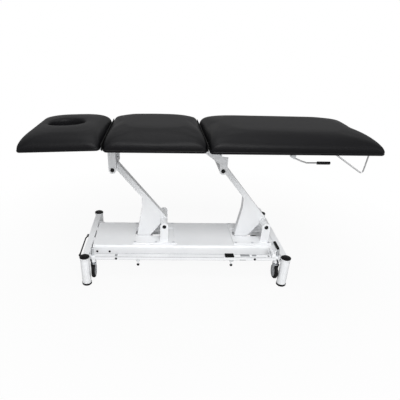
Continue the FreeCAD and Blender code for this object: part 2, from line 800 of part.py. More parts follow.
# Drive: push rod with a slotted fork, and the motor that slides it.
rod = body("push_rod")
fork_in = "arm_half_width + fork_clearance"
fork_out = "arm_half_width + fork_clearance + fork_sheet"
fork = box_points("lug_x - fork_free_side", "lug_x + fork_rod_side + fork_block",
                  "push_rod_z - fork_below", "push_rod_z + fork_above")
for low, high in (("-(%s)" % fork_out, "-(%s)" % fork_in), (fork_in, fork_out)):
    plate(rod, [fork], low, high)
slot = box_points("lug_x - lug_pin_diameter / 2 - fork_slot_play",
                  "lug_x + lug_pin_diameter / 2 + fork_slot_play",
                  "push_rod_z - fork_slot_below", "push_rod_z + fork_slot_above")
plate(rod, [slot], "-(%s)" % fork_out, fork_out, kind="Pocket")
plate(rod, [box_points("lug_x + fork_rod_side", "lug_x + fork_rod_side + fork_block",
                       "push_rod_z - fork_below", "push_rod_z + fork_above")],
      "-(%s)" % fork_out, fork_out)
plate(rod, [("0", "push_rod_z", "push_rod_diameter / 2")],
      "lug_x + fork_rod_side + fork_block",
      "lug_x + fork_rod_side + fork_block + push_rod_length", "YZ_Plane")
keep("push_rod", rod)

motor = body("lift_motor")
tube_end = "motor_tube_left + motor_tube_length"
plate(motor, [("0", "push_rod_z", "motor_tube_diameter / 2")],
      "motor_tube_left", tube_end, "YZ_Plane")
plate(motor, [("0", "push_rod_z", "motor_bore / 2")],
      "motor_tube_left", tube_end, "YZ_Plane", "Pocket")
for left in ("motor_tube_left + motor_inset", tube_end + " - motor_inset - hanger_sheet"):
    hanger = [box_points("-chassis_inner", "chassis_inner", "push_rod_z - hanger_below",
                         "rail_top - cover_sheet - tie_height")]
    plate(motor, hanger + [("0", "push_rod_z", "motor_tube_diameter / 2 - tube_wall")],
          left, left + " + hanger_sheet", "YZ_Plane")
plate(motor, [("0", "push_rod_z", "motor_diameter / 2")],
      tube_end, tube_end + " + motor_length", "YZ_Plane")
rounding(motor, "hanger_sheet",
         lambda e: abs(e.CenterOfMass.x - num(tube_end + " + motor_length")) < SAME)
keep("lift_motor", motor)

# Top frame: rails and cross tubes under the middle section.
top = body("top_frame")
for side, sign in SIDES:
    edges = ["%s * frame_rail_inner" % sign, "%s * (frame_rail_inner + frame_rail_width)" % sign]
    if sign == "-1":
        edges.reverse()
    plate(top, [box_points(edges[0], edges[1], "seat_z - frame_rail_height", "seat_z")],
          "frame_left", "frame_right", "YZ_Plane")
for left in ("cross_left", "(gas_mount_x - frame_rail_width / 2)", "cross_right"):
    plate(top, [box_points(left, left + " + frame_rail_width",
                           "seat_z - frame_rail_height", "seat_z")],
          "-frame_rail_inner", "frame_rail_inner")
hanger = box_points("gas_mount_x - gas_bracket_width / 2", "gas_mount_x + gas_bracket_width / 2",
                    "strut_lug_z", "seat_z - frame_rail_height")
for low, high in (("-gas_bracket_half - gas_bracket_sheet", "-gas_bracket_half"),
                  ("gas_bracket_half", "gas_bracket_half + gas_bracket_sheet")):
    plate(top, [hanger], low, high)
    plate(top, [("gas_mount_x", "strut_lug_z", "gas_bracket_width / 2")], low, high)
plate(top, [("gas_mount_x", "strut_lug_z", "gas_pin_diameter / 2")],
      "-gas_bracket_half - gas_bracket_sheet", "gas_bracket_half + gas_bracket_sheet")
for side, sign in SIDES:
    middle = "%s * (frame_rail_inner + frame_rail_width / 2)" % sign
    half = "(frame_rail_width / 2 - tube_wall)"
    hollow = box_points("%s - %s" % (middle, half), "%s + %s" % (middle, half),
                        "seat_z - frame_rail_height + tube_wall", "seat_z - tube_wall")
    plate(top, [hollow], "frame_left", "frame_right", "YZ_Plane", "Pocket")
keep("top_frame", top)

# Top frame: cheeks that hang on the upper pivots and carry the section hinges.
for end, x in STATIONS:
    up_x = "(%s - arm_reach)" % x
    bracket = body("upper_bracket_" + end)
    if end == "left":
        hinge_x = "head_hinge_x"
        outline = [(up_x + " - upper_cheek_half", "upper_z"),
                   (up_x + " + upper_cheek_half", "upper_z"),
                   (up_x + " + upper_cheek_half", "seat_z"),
                   ("frame_left", "seat_z"),
                   ("frame_left", "seat_z - fit_clearance"),
                   (hinge_x, "seat_z - hinge_plate_gap"),
                   (hinge_x, "hinge_z - hinge_boss_radius"),
                   (up_x + " - upper_cheek_half", "hinge_z - hinge_plate_neck")]
    else:
        hinge_x = "leg_hinge_x"
        outline = [(up_x + " - upper_cheek_half", "upper_z"),
                   (up_x + " + upper_cheek_half", "upper_z"),
                   (up_x + " + upper_cheek_half", "seat_z - flexion_end_drop"),
                   (up_x + " - flexion_corner_in", "seat_z - flexion_corner_drop"),
                   ("leg_hinge_x + hinge_boss_radius / 2", "hinge_z + hinge_boss_radius / 2"),
                   ("frame_right", "seat_z"),
                   ("cross_right + frame_rail_width", "seat_z"),
                   ("cross_right + frame_rail_width", "seat_z - frame_rail_height"),
                   (hinge_x, "hinge_z - leg_plate_neck"),
                   (up_x + " - upper_cheek_half", "seat_z - cheek_waist_drop - hinge_plate_neck")]
    for side, sign in SIDES:
        low, high = "%s * cheek_outer" % sign, "%s * cheek_inner" % sign
        if sign == "1":
            low, high = high, low
        plate(bracket, [outline], low, high)
        plate(bracket, [(up_x, "upper_z", "upper_cheek_half")], low, high)
        plate(bracket, [(hinge_x, "hinge_z", "hinge_boss_radius")], low, high)
        plate(bracket, [(up_x, "upper_z", "axle_diameter / 2")], low, high, kind="Pocket")
    plate(bracket, [(hinge_x, "hinge_z", "hinge_pin_diameter / 2")], "-cheek_outer", "cheek_outer")
    keep("upper_bracket_" + end, bracket)

# Head and leg sections: a frame of two rails and two cross bars with hinge ears.
SECTIONS = (
    ("head", "-1", "head_right", "head_left", "head_hinge_x", "head_cross_offset"),
    ("leg", "1", "leg_left", "leg_right", "leg_hinge_x", "leg_cross_offset"),
)
for name, away, start, finish, hx, offset in SECTIONS:
    frame = body(name + "_frame")
    inner = "%s + %s * section_rail_start" % (start, away)
    outer = "%s - %s * section_rail_end" % (finish, away)
    span = [inner, outer] if away == "1" else [outer, inner]
    for side, sign in SIDES:
        y0 = "%s * section_rail_y - section_rail_width / 2" % sign
        y1 = "%s * section_rail_y + section_rail_width / 2" % sign
        plate(frame, [box_points(y0, y1, "seat_z - section_rail_height", "seat_z")],
              span[0], span[1], "YZ_Plane")
    for side, sign in SIDES:
        middle = "%s * section_rail_y" % sign
        half = "(section_rail_width / 2 - section_tube_wall)"
        hollow = box_points("%s - %s" % (middle, half), "%s + %s" % (middle, half),
                            "seat_z - section_rail_height + section_tube_wall",
                            "seat_z - section_tube_wall")
        plate(frame, [hollow], span[0], span[1], "YZ_Plane", "Pocket")
    first = "%s + %s * %s" % (inner, away, offset)
    bars = [(first, "%s + %s * section_cross_width" % (first, away)),
            ("%s - %s * section_cross_width" % (outer, away), outer)]
    for a, b in bars:
        a, b = (a, b) if away == "1" else (b, a)
        plate(frame, [box_points(a, b, "-section_rail_y + section_rail_width / 2",
                                 "section_rail_y - section_rail_width / 2")],
              "seat_z - section_rail_height", "seat_z", "XY_Plane")
    ear_out = "(cheek_inner - ear_gap)"
    ear_in = "(cheek_inner - ear_gap - ear_sheet)"
    tip = "%s + %s * section_cross_width" % (first, away)
    ear = [(hx, "hinge_z - hinge_boss_radius"), (tip, "seat_z - section_rail_height"),
           (tip, "seat_z"), (inner, "seat_z"),
           (hx, "hinge_z + hinge_boss_radius")]
    for low, high in (("-" + ear_out, "-" + ear_in), (ear_in, ear_out)):
        plate(frame, [ear], low, high)
        plate(frame, [(hx, "hinge_z", "hinge_boss_radius")], low, high)
        plate(frame, [(hx, "hinge_z", "hinge_pin_diameter / 2 + hinge_pin_clearance")],
              low, high, kind="Pocket")
    if name == "leg":
        low_edge = "seat_z - section_rail_height"
        lug = [(first, "seat_z"), ("strut_lug_x - strut_lug_radius", "seat_z"),
               ("strut_lug_x - strut_lug_radius", "strut_lug_z"),
               ("strut_lug_x + strut_lug_radius", "strut_lug_z"),
               ("strut_lug_x + strut_lug_flare", low_edge),
               (first, low_edge)]
        for low, high in (("-strut_lug_half - strut_lug_sheet", "-strut_lug_half"),
                          ("strut_lug_half", "strut_lug_half + strut_lug_sheet")):
            plate(frame, [lug], low, high)
            plate(frame, [("strut_lug_x", "strut_lug_z", "strut_lug_radius")], low, high)
        plate(frame, [("strut_lug_x", "strut_lug_z", "gas_pin_diameter / 2")],
              "-strut_lug_half - strut_lug_sheet", "strut_lug_half + strut_lug_sheet")
    keep(name + "_frame", frame)

# Side rail fittings: pedal bracket, ears of the toe levers and of the foot tread.
near_rail = NODES["side_rail_near"]
pedal_base = "rail_top + pedal_base_sheet"
plate(near_rail, [box_points("pedal_x - pedal_ear_half", "pedal_x + pedal_ear_half",
                             "pedal_y_near - pedal_gap - pedal_ear_sheet",
                             "pedal_y_far + pedal_gap + pedal_ear_sheet")],
      "rail_top", pedal_base, "XY_Plane")
for low, high in (("pedal_y_near - pedal_gap - pedal_ear_sheet", "pedal_y_near - pedal_gap"),
                  ("pedal_y_far + pedal_gap", "pedal_y_far + pedal_gap + pedal_ear_sheet")):
    plate(near_rail, [box_points("pedal_x - pedal_ear_half", "pedal_x + pedal_ear_half",
                                 pedal_base, "pedal_z")], low, high)
    plate(near_rail, [("pedal_x", "pedal_z", "pedal_ear_half")], low, high)
plate(near_rail, [("pedal_x", "pedal_z", "pedal_shaft_diameter / 2")],
      "pedal_y_near - pedal_gap - pedal_ear_sheet", "pedal_y_far + pedal_gap + pedal_ear_sheet")
for toe_x in ("toe_left_x", "toe_right_x"):
    inner = "toe_hub_half + toe_ear_gap"
    outer = "toe_hub_half + toe_ear_gap + toe_ear_sheet"
    ear = box_points("toe_y - toe_hub_radius", "toe_y + toe_hub_radius",
                     "toe_top_z", "rail_top - side_rail_height")
    for low, high in (("%s - (%s)" % (toe_x, outer), "%s - (%s)" % (toe_x, inner)),
                      ("%s + %s" % (toe_x, inner), "%s + %s" % (toe_x, outer))):
        plate(near_rail, [ear], low, high, "YZ_Plane")
        plate(near_rail, [("toe_y", "toe_top_z", "toe_hub_radius")], low, high, "YZ_Plane")
    plate(near_rail, [("toe_y", "toe_top_z", "toe_pin_diameter / 2")],
          "%s - (%s)" % (toe_x, outer), "%s + %s" % (toe_x, outer), "YZ_Plane")
tread_right = "tread_left + tread_length"
tread_z = "rail_top + tread_lift + tread_height / 2"
for low, high in (("tread_left - tread_gap - tread_ear_sheet", "tread_left - tread_gap"),
                  (tread_right + " + tread_gap", tread_right + " + tread_gap + tread_ear_sheet")):
    plate(near_rail, [box_points("tread_pivot_y - tread_hub_radius",
                                 "tread_pivot_y + tread_hub_radius",
                                 "rail_top", tread_z + " + tread_hub_radius")],
          low, high, "YZ_Plane")
plate(near_rail, [("tread_pivot_y", tread_z, "tread_pin_diameter / 2")],
      "tread_left - tread_gap - tread_ear_sheet",
      tread_right + " + tread_gap + tread_ear_sheet", "YZ_Plane")

# Foot tread: a ribbed rubber pad that rocks on its back edge.
tread = body("foot_tread")
pad_low = "rail_top + tread_lift"
plate(tread, [box_points("tread_left", tread_right, "tread_front", "tread_pivot_y")],
      pad_low, pad_low + " + tread_height", "XY_Plane")
ribs = []
for i in range(int(num("tread_length / tread_rib_pitch"))):
    rib_left = "tread_left + tread_rib_width / 2 + %d * tread_rib_pitch" % i
    ribs.append(box_points(rib_left, rib_left + " + tread_rib_width",
                           "tread_front", "tread_pivot_y - tread_hub_radius"))
plate(tread, ribs, pad_low + " + tread_height",
      pad_low + " + tread_height + tread_rib_height", "XY_Plane")
plate(tread, [("tread_pivot_y", tread_z, "tread_hub_radius")], "tread_left", tread_right, "YZ_Plane")
plate(tread, [("tread_pivot_y", tread_z, "tread_pin_diameter / 2 + hinge_pin_clearance")],
      "tread_left", tread_right, "YZ_Plane", "Pocket")
keep("foot_tread", tread)

# Caster pedal: a kick-over plate on the near rail.
pedal = body("caster_pedal")
plate(pedal, [("pedal_x", "pedal_z", "pedal_hub_radius")], "pedal_y_near", "pedal_y_far")
lean = "sqrt(pedal_reach^2 + pedal_rise^2)"
side_x = "pedal_rise / %s * pedal_plate_sheet / 2" % lean
side_z = "pedal_reach / %s * pedal_plate_sheet / 2" % lean
plate(pedal, [[("pedal_x + " + side_x, "pedal_z - " + side_z),
               ("pedal_top_x + " + side_x, "pedal_top_z - " + side_z),
               ("pedal_top_x - " + side_x, "pedal_top_z + " + side_z),
               ("pedal_x - " + side_x, "pedal_z + " + side_z)]], "pedal_y_near", "pedal_y_far")
plate(pedal, [("pedal_x", "pedal_z", "pedal_shaft_diameter / 2 + hinge_pin_clearance")],
      "pedal_y_near", "pedal_y_far", kind="Pocket")
keep("caster_pedal", pedal)
grip = body("pedal_grip")
plate(grip, [("pedal_top_x", "pedal_top_z", "pedal_grip_diameter / 2")],
      "pedal_y_near - pedal_grip_over", "pedal_y_far + pedal_grip_over")
bevel(grip, "pedal_grip_bevel", lambda e: abs(abs(e.CenterOfMass.y - num(
    "(pedal_y_near + pedal_y_far) / 2")) - num(
    "(pedal_y_far - pedal_y_near) / 2 + pedal_grip_over")) < SAME)
far_x = "(pedal_top_x - pedal_reach * pedal_grip_diameter / %s)" % lean
far_z = "(pedal_top_z - pedal_rise * pedal_grip_diameter / %s)" % lean
plate(grip, [[(far_x + " + " + side_x, far_z + " - " + side_z),
              ("pedal_top_x + " + side_x, "pedal_top_z - " + side_z),
              ("pedal_top_x - " + side_x, "pedal_top_z + " + side_z),
              (far_x + " - " + side_x, far_z + " + " + side_z)]],
      "pedal_y_near", "pedal_y_far", kind="Pocket")
keep("pedal_grip", grip)


# Casters: lifting struts and wheels. The near wheels run in forks under their struts.
def wheel(label, cx, cy):
    """A wheel across the table, with a bore for its axle."""
    made = body(label)
    sides = (cx + " - wheel_width / 2", cx + " + wheel_width / 2")
    plate(made, [(cy, "wheel_z", "wheel_diameter / 2")], *sides, "YZ_Plane")
    bevel(made, "tread_shoulder", lambda e: abs(abs(e.CenterOfMass.x - num(cx)) - num(
        "wheel_width / 2")) < SAME)
    plate(made, [(cy, "wheel_z", "wheel_axle_diameter / 2 + wheel_clearance")], *sides,
          "YZ_Plane", "Pocket")
    keep(label, made)


for end, turn in ENDS:
    cx, cy = end + "_strut", "(-side_rail_y)"
    crown_low = "(wheel_bottom + wheel_diameter + crown_gap)"
    crown_top = "(wheel_bottom + wheel_diameter + crown_gap + crown_sheet)"
    inside = "(wheel_width / 2 + wheel_side_gap)"
    outside = "(wheel_width / 2 + wheel_side_gap + fork_leg_sheet)"
    strut = body("caster_strut_%s_near" % end)
    plate(strut, [(cx, cy, "strut_diameter / 2")], crown_low, "strut_top", "XY_Plane")
    bevel(strut, "crown_sheet / 2",
          lambda e: abs(e.CenterOfMass.z - num("strut_top")) < SAME)
    plate(strut, [box_points(cx + " - " + outside, cx + " + " + outside,
                             cy + " - crown_half", cy + " + crown_half")],
          crown_low, crown_top, "XY_Plane")
    leg = [(cy + " - fork_foot_radius", "wheel_z"), (cy + " + fork_foot_radius", "wheel_z"),
           (cy + " + crown_half", crown_top), (cy + " - crown_half", crown_top)]
    for low, high in ((cx + " - " + outside, cx + " - " + inside),
                      (cx + " + " + inside, cx + " + " + outside)):
        plate(strut, [leg], low, high, "YZ_Plane")
        plate(strut, [(cy, "wheel_z", "fork_foot_radius")], low, high, "YZ_Plane")
    plate(strut, [(cy, "wheel_z", "wheel_axle_diameter / 2")],
          cx + " - " + outside, cx + " + " + outside, "YZ_Plane")
    keep("caster_strut_%s_near" % end, strut)
    wheel("caster_wheel_%s_near" % end, cx, cy)

# The far wheels run beside their struts, under the edge of the cover.
for end, turn in ENDS:
    strut = body("caster_strut_%s_far" % end)
    cx = "(%s_strut - %s * far_wheel_offset)" % (end, turn)
    plate(strut, [(end + "_strut", "far_strut_y", "strut_diameter / 2")],
          "far_strut_bottom", "far_strut_top", "XY_Plane")
    bevel(strut, "crown_sheet / 2",
          lambda e: abs(e.CenterOfMass.z - num("far_strut_top")) < SAME)
    outer = "%s - %s * (wheel_width / 2 + wheel_side_gap)" % (cx, turn)
    tip = "%s - %s * (wheel_width / 2 + wheel_side_gap + fork_leg_sheet)" % (cx, turn)
    for start, radius in ((end + "_strut", "wheel_axle_diameter / 2"),
                          (outer, "far_washer_radius")):
        low, high = (start, tip) if turn == "-1" else (tip, start)
        plate(strut, [("far_strut_y", "wheel_z", radius)], low, high, "YZ_Plane")
    keep("caster_strut_%s_far" % end, strut)
    wheel("caster_wheel_%s_far" % end, cx, "far_strut_y")


def bent(label, stops, bend, diameter):
    """A round rod through named stops, with its corners turned to a bend radius."""
    spots = [FreeCAD.Vector(*[num(value) for value in stop]) for stop in stops]
    turn = num(bend)
    edges = []
    last = spots[0]
    for i in range(1, len(spots) - 1):
        back = (spots[i - 1] - spots[i]).normalize()
        ahead = (spots[i + 1] - spots[i]).normalize()
        half = back.getAngle(ahead) / 2
        reach = turn / math.tan(half)
        a = spots[i] + back * reach
        b = spots[i] + ahead * reach
        centre = spots[i] + (back + ahead).normalize() * (turn / math.sin(half))
        middle = centre + (spots[i] - centre).normalize() * turn
        edges.append(Part.makeLine(last, a))
        edges.append(Part.Arc(a, middle, b).toShape())
        last = b
    edges.append(Part.makeLine(last, spots[-1]))
    spine = Part.Wire(edges)
    round_edge = Part.makeCircle(num(diameter) / 2, spots[0], spots[1] - spots[0])
    rod = spine.makePipeShell([Part.Wire([round_edge])], True, True)
    made = doc.addObject("Part::Feature", label)
    made.Label = label
    made.Shape = rod
    return made


def joined(label, pieces, cuts=()):
    """One solid from several simple ones."""
    shape = pieces[0].Shape.fuse([piece.Shape for piece in pieces[1:]])
    for cut in cuts:
        shape = shape.cut(cut)
    made = doc.addObject("Part::Feature", label)
    made.Label = label
    made.Shape = shape.removeSplitter()
    for piece in pieces:
        doc.removeObject(piece.Name)
    keep(label, made)
    return made


def drum(x, y, z, axis, radius, length):
    """A round solid, centred on a named place, as a helper for joined pieces."""
    centre = FreeCAD.Vector(num(x), num(y), num(z))
    way = FreeCAD.Vector(*axis)
    start = centre - way * (num(length) / 2)
    made = doc.addObject("Part::Feature", "drum")
    made.Shape = Part.makeCylinder(num(radius), num(length), start, way)
    return made


ALONG_X = (1, 0, 0)
ALONG_Y = (0, 1, 0)

# Foot bar at the head end, with its pin on the end frame.
pin_x = "(left_post - end_rail_width / 2)"
pin_end = "bar_hub_x - bar_hub_half - bar_pin_over"
plate(NODES["end_frame_left"], [("bar_hub_y", "bar_z", "bar_pin_diameter / 2")],
      pin_end, pin_x, "YZ_Plane")
plate(NODES["end_frame_left"], [("bar_hub_y", "bar_z", "bar_washer_radius")],
      pin_end, pin_end + " + bar_washer_sheet", "YZ_Plane")
bar_rod = bent("bar_rod", [("bar_hub_x", "bar_hub_y", "bar_z"),
                           ("bar_x", "bar_bend_y", "bar_z"),
                           ("bar_x", "-post_side + bar_near_inset", "bar_z")], "bar_bend", "bar_diameter")
bar_hub = drum("bar_hub_x", "bar_hub_y", "bar_z", ALONG_X, "bar_hub_radius", "bar_hub_half * 2")
bar_tip = drum("bar_x", "-post_side + bar_near_inset", "bar_z", ALONG_Y, "bar_tip_radius", "bar_tip_radius * 2")
bore = drum("bar_hub_x", "bar_hub_y", "bar_z", ALONG_X,
            "bar_pin_diameter / 2 + bar_pin_clearance", "bar_hub_half * 2 + bore_over")
joined("foot_bar", [bar_rod, bar_hub, bar_tip], [bore.Shape])
doc.removeObject(bore.Name)

# Toe levers under the near rail.
for end, slant in (("left", "0"), ("right", "toe_slant")):
    toe_x = "toe_%s_x" % end
    stem = bent("stem", [(toe_x + " - " + slant, "toe_y", "toe_top_z"),
                         (toe_x, "toe_y", "toe_tip_z")], "toe_rod_diameter", "toe_rod_diameter")
    hub = drum(toe_x, "toe_y", "toe_top_z", ALONG_X, "toe_hub_radius", "toe_hub_half * 2")
    ball = doc.addObject("Part::Feature", "ball")
    ball.Shape = Part.makeSphere(num("toe_tip_radius"), FreeCAD.Vector(
        num(toe_x), num("toe_y"), num("toe_tip_z")))
    bore = drum(toe_x, "toe_y", "toe_top_z", ALONG_X,
                "toe_pin_diameter / 2 + hinge_pin_clearance", "toe_hub_half * 2 + bore_over")
    joined("toe_lever_" + end, [hub, stem, ball], [bore.Shape])
    doc.removeObject(bore.Name)

# Gas spring under the middle section.
tube = body("gas_spring_tube")
plate(tube, [("gas_mount_x", "strut_lug_z", "gas_eye_radius")], "-gas_eye_half", "gas_eye_half")
plate(tube, [("0", "strut_lug_z", "gas_tube_diameter / 2")],
      "gas_mount_x + gas_tube_start", "gas_mount_x + gas_tube_start + gas_tube_length", "YZ_Plane")
plate(tube, [("gas_mount_x", "strut_lug_z", "gas_pin_diameter / 2 + hinge_pin_clearance")],
      "-gas_eye_half", "gas_eye_half", kind="Pocket")
plate(tube, [("0", "strut_lug_z", "gas_bore / 2")],
      "gas_mount_x + gas_tube_start + gas_eye_radius",
      "gas_mount_x + gas_tube_start + gas_tube_length", "YZ_Plane", "Pocket")
keep("gas_spring_tube", tube)
piston = body("gas_spring_rod")
plate(piston, [("strut_lug_x", "strut_lug_z", "gas_eye_radius")], "-gas_eye_half", "gas_eye_half")
plate(piston, [("0", "strut_lug_z", "gas_rod_diameter / 2")],
      "gas_mount_x + gas_tube_start + gas_tube_length - gas_rod_in",
      "strut_lug_x - gas_eye_radius / 2", "YZ_Plane")
plate(piston, [("strut_lug_x", "strut_lug_z", "gas_pin_diameter / 2 + gas_eye_play")],
      "-gas_eye_half", "gas_eye_half", kind="Pocket")
keep("gas_spring_rod", piston)

# Release lever of the gas spring, under the near edge of the leg section.
mount = body("lever_mount")
for low, high in (("-fitting_y - lever_hub_half - pedal_gap - lever_mount_sheet",
                   "-fitting_y - lever_hub_half - pedal_gap"),
                  ("-fitting_y + lever_hub_half + pedal_gap",
                   "-fitting_y + lever_hub_half + pedal_gap + lever_mount_sheet")):
    plate(mount, [box_points("lever_pivot_x - lever_mount_half", "lever_pivot_x + lever_hub_radius",
                             "lever_pivot_z", "seat_z - holder_plate_sheet")], low, high)
    plate(mount, [("lever_pivot_x", "lever_pivot_z", "lever_hub_radius")], low, high)
plate(mount, [("lever_pivot_x", "lever_pivot_z", "lever_bolt_diameter / 2")],
      "-fitting_y - lever_hub_half - pedal_gap - lever_mount_sheet",
      "-fitting_y + lever_hub_half + pedal_gap + lever_mount_sheet")
plate(mount, [box_points("lever_pivot_x - lever_mount_half", "lever_pivot_x + lever_mount_half",
                         "-fitting_y - lever_mount_half", "-fitting_y + lever_mount_half")],
      "seat_z - holder_plate_sheet", "seat_z", "XY_Plane")
keep("lever_mount", mount)
rod = bent("lever_rod", [("lever_pivot_x", "-fitting_y", "lever_pivot_z - lever_hub_radius / 2"),
                         ("lever_pivot_x + lever_bend_ahead", "-fitting_y", "seat_z - lever_bend_drop"),
                         ("lever_pivot_x + lever_low_ahead", "-fitting_y", "lever_low_z"),
                         ("lever_end_x", "-fitting_y", "lever_low_z")],
           "holder_bend", "lever_rod_diameter")
hub = drum("lever_pivot_x", "-fitting_y", "lever_pivot_z", ALONG_Y, "lever_hub_radius - fit_clearance",
           "lever_hub_half * 2")
bore = drum("lever_pivot_x", "-fitting_y", "lever_pivot_z", ALONG_Y,
            "lever_bolt_diameter / 2 + hinge_pin_clearance", "lever_hub_half * 2 + bore_over")
joined("release_lever", [hub, rod], [bore.Shape])
doc.removeObject(bore.Name)
sleeve = body("lever_grip")
plate(sleeve, [("-fitting_y", "lever_low_z", "lever_grip_diameter / 2")],
      "grip_start", "grip_end", "YZ_Plane")
bevel(sleeve, "lever_grip_bevel", lambda e: abs(abs(e.CenterOfMass.x - num(
    "(grip_start + grip_end) / 2")) - num(
    "(grip_end - grip_start) / 2")) < SAME)
plate(sleeve, [("-fitting_y", "lever_low_z", "lever_rod_diameter / 2")],
      "grip_start", "lever_end_x", "YZ_Plane", "Pocket")
keep("lever_grip", sleeve)

# Paper roll holders: one bent wire under each long edge of the leg section.
for side, sign in SIDES:
    y = "(%s * fitting_y)" % sign
    wire = bent("wire", [("leg_right - holder_left_back", y, "seat_z - holder_wire / 2"),
                         ("leg_right - holder_foot_back", y, "seat_z - holder_foot_drop"),
                         ("leg_right - holder_right_back", y,
                          "seat_z - holder_plate_sheet / 2")],
                "holder_bend", "holder_wire")
    tabs = []
    for x in ("leg_right - holder_left_back", "leg_right - holder_right_back"):
        tab = doc.addObject("Part::Box", "tab")
        bind(tab, "Length", "holder_plate_length")
        bind(tab, "Width", "holder_plate_width")
        bind(tab, "Height", "holder_plate_sheet")
        bind(tab, "Placement.Base.x", x + " - holder_plate_length / 2")
        bind(tab, "Placement.Base.y", y + " - holder_plate_width / 2")
        bind(tab, "Placement.Base.z", "seat_z - holder_plate_sheet")
        tabs.append(tab)
    doc.recompute()
    joined("roll_holder_" + side, [wire] + tabs)


# Boards and cushions.
def loop(x0, x1, inset, level):
    """A rounded rectangle at one level of a cushion."""
    side, radius = num("half_width") - inset, num("cushion_corner")
    a, b = x0 + inset, x1 - inset
    slant = radius * (1 - math.cos(math.radians(QUARTER / 2)))
    V = FreeCAD.Vector
    edges = []
    for start, mid, end, after in (
            (V(b - radius, -side, level), V(b - slant, -side + slant, level),
             V(b, -side + radius, level), V(b, side - radius, level)),
            (V(b, side - radius, level), V(b - slant, side - slant, level),
             V(b - radius, side, level), V(a + radius, side, level)),
            (V(a + radius, side, level), V(a + slant, side - slant, level),
             V(a, side - radius, level), V(a, -side + radius, level)),
            (V(a, -side + radius, level), V(a + slant, -side + slant, level),
             V(a + radius, -side, level), V(b - radius, -side, level))):
        edges.append(Part.Arc(start, mid, end).toShape())
        edges.append(Part.makeLine(end, after))
    return Part.Wire(edges)


EDGE_STEPS = 4
QUARTER = 90
PROFILE = [("hem_inset", "0"), ("0", "hem_height")]
for step in range(EDGE_STEPS + 1):
    turned = "%d / %d * %d" % (step, EDGE_STEPS, QUARTER)
    PROFILE.append(("edge_radius * (1 - cos(%s))" % turned,
                    "shoulder_height + edge_radius * sin(%s)" % turned))
PROFILE += [("crown_inset", "crown_height"), ("top_inset", "cushion_height")]


def hole_solid(low, high):
    """The oval opening for the face, as a solid to cut away."""
    centre = FreeCAD.Vector(num("head_left + face_hole_from_end"), 0, low)
    long_side, short_side = num("face_hole_length / 2"), num("face_hole_width / 2")
    oval = Part.Ellipse(centre + FreeCAD.Vector(long_side, 0, 0),
                        centre + FreeCAD.Vector(0, short_side, 0), centre)
    face = Part.Face(Part.Wire([oval.toShape()]))
    return face.extrude(FreeCAD.Vector(0, 0, high - low))


SPANS = (("head", "head_left", "head_right"),
         ("middle", "middle_left", "middle_right"),
         ("leg", "leg_left", "leg_right"))
for name, left, right in SPANS:
    x0, x1 = num(left), num(right)
    inset, low, high = num("board_inset"), num("seat_z"), num("board_top")
    ends = [x0, x1]
    if name == "middle":
        ends = [num(left + " - board_lip_head - board_inset"),
                num(right + " + board_lip_leg + board_inset")]
    board = Part.Face(loop(*ends, inset, low)).extrude(FreeCAD.Vector(0, 0, high - low))
    loops = [loop(x0, x1, num(i), high + num(h)) for i, h in PROFILE]
    foam = Part.makeLoft(loops, True, True)
    if name == "head":
        cut = hole_solid(low - SAME, num("table_height") + SAME)
        board, foam = board.cut(cut), foam.cut(cut)
    for label, shape in ((name + "_board", board), (name + "_cushion", foam)):
        made = doc.addObject("Part::Feature", label)
        made.Label = label
        made.Shape = shape
        keep(label, made)

# The head section hangs a little below level.
pivot = FreeCAD.Vector(num("head_hinge_x"), 0, num("hinge_z"))
droop = FreeCAD.Placement(FreeCAD.Vector(), FreeCAD.Rotation(
    FreeCAD.Vector(0, 1, 0), -num("head_droop")), pivot)
for label in ("head_frame", "head_board", "head_cushion"):
    NODES[label].Placement = droop

# Checks and files.
doc.recompute()
os.makedirs("parts", exist_ok=True)
for label, made in NODES.items():
    if "Invalid" in made.State or "Error" in made.State:
        raise RuntimeError(label + " did not rebuild")
    if made.Shape.isNull() or not made.Shape.isValid():
        raise RuntimeError(label + " has no sound shape")
    made.Shape.exportStep("parts/%s.step" % label)
print(len(NODES), "parts written")
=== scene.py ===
# %% [markdown]
# # A padded treatment table on a parallel lift
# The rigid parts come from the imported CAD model, and this script dresses them: it takes
# the model in, stands a camera where the photograph was taken, lights a pale studio,
# upholsters the three cushions, and gives every surface the finish of its real material.
# All lengths are in metres. The table lies along X, its head end towards -X, and Z is up.

# %% Load the fixed frame
import json
import math
import time

import bmesh
import bpy
import numpy as np
from mathutils import Matrix, Vector
from mathutils.bvhtree import BVHTree


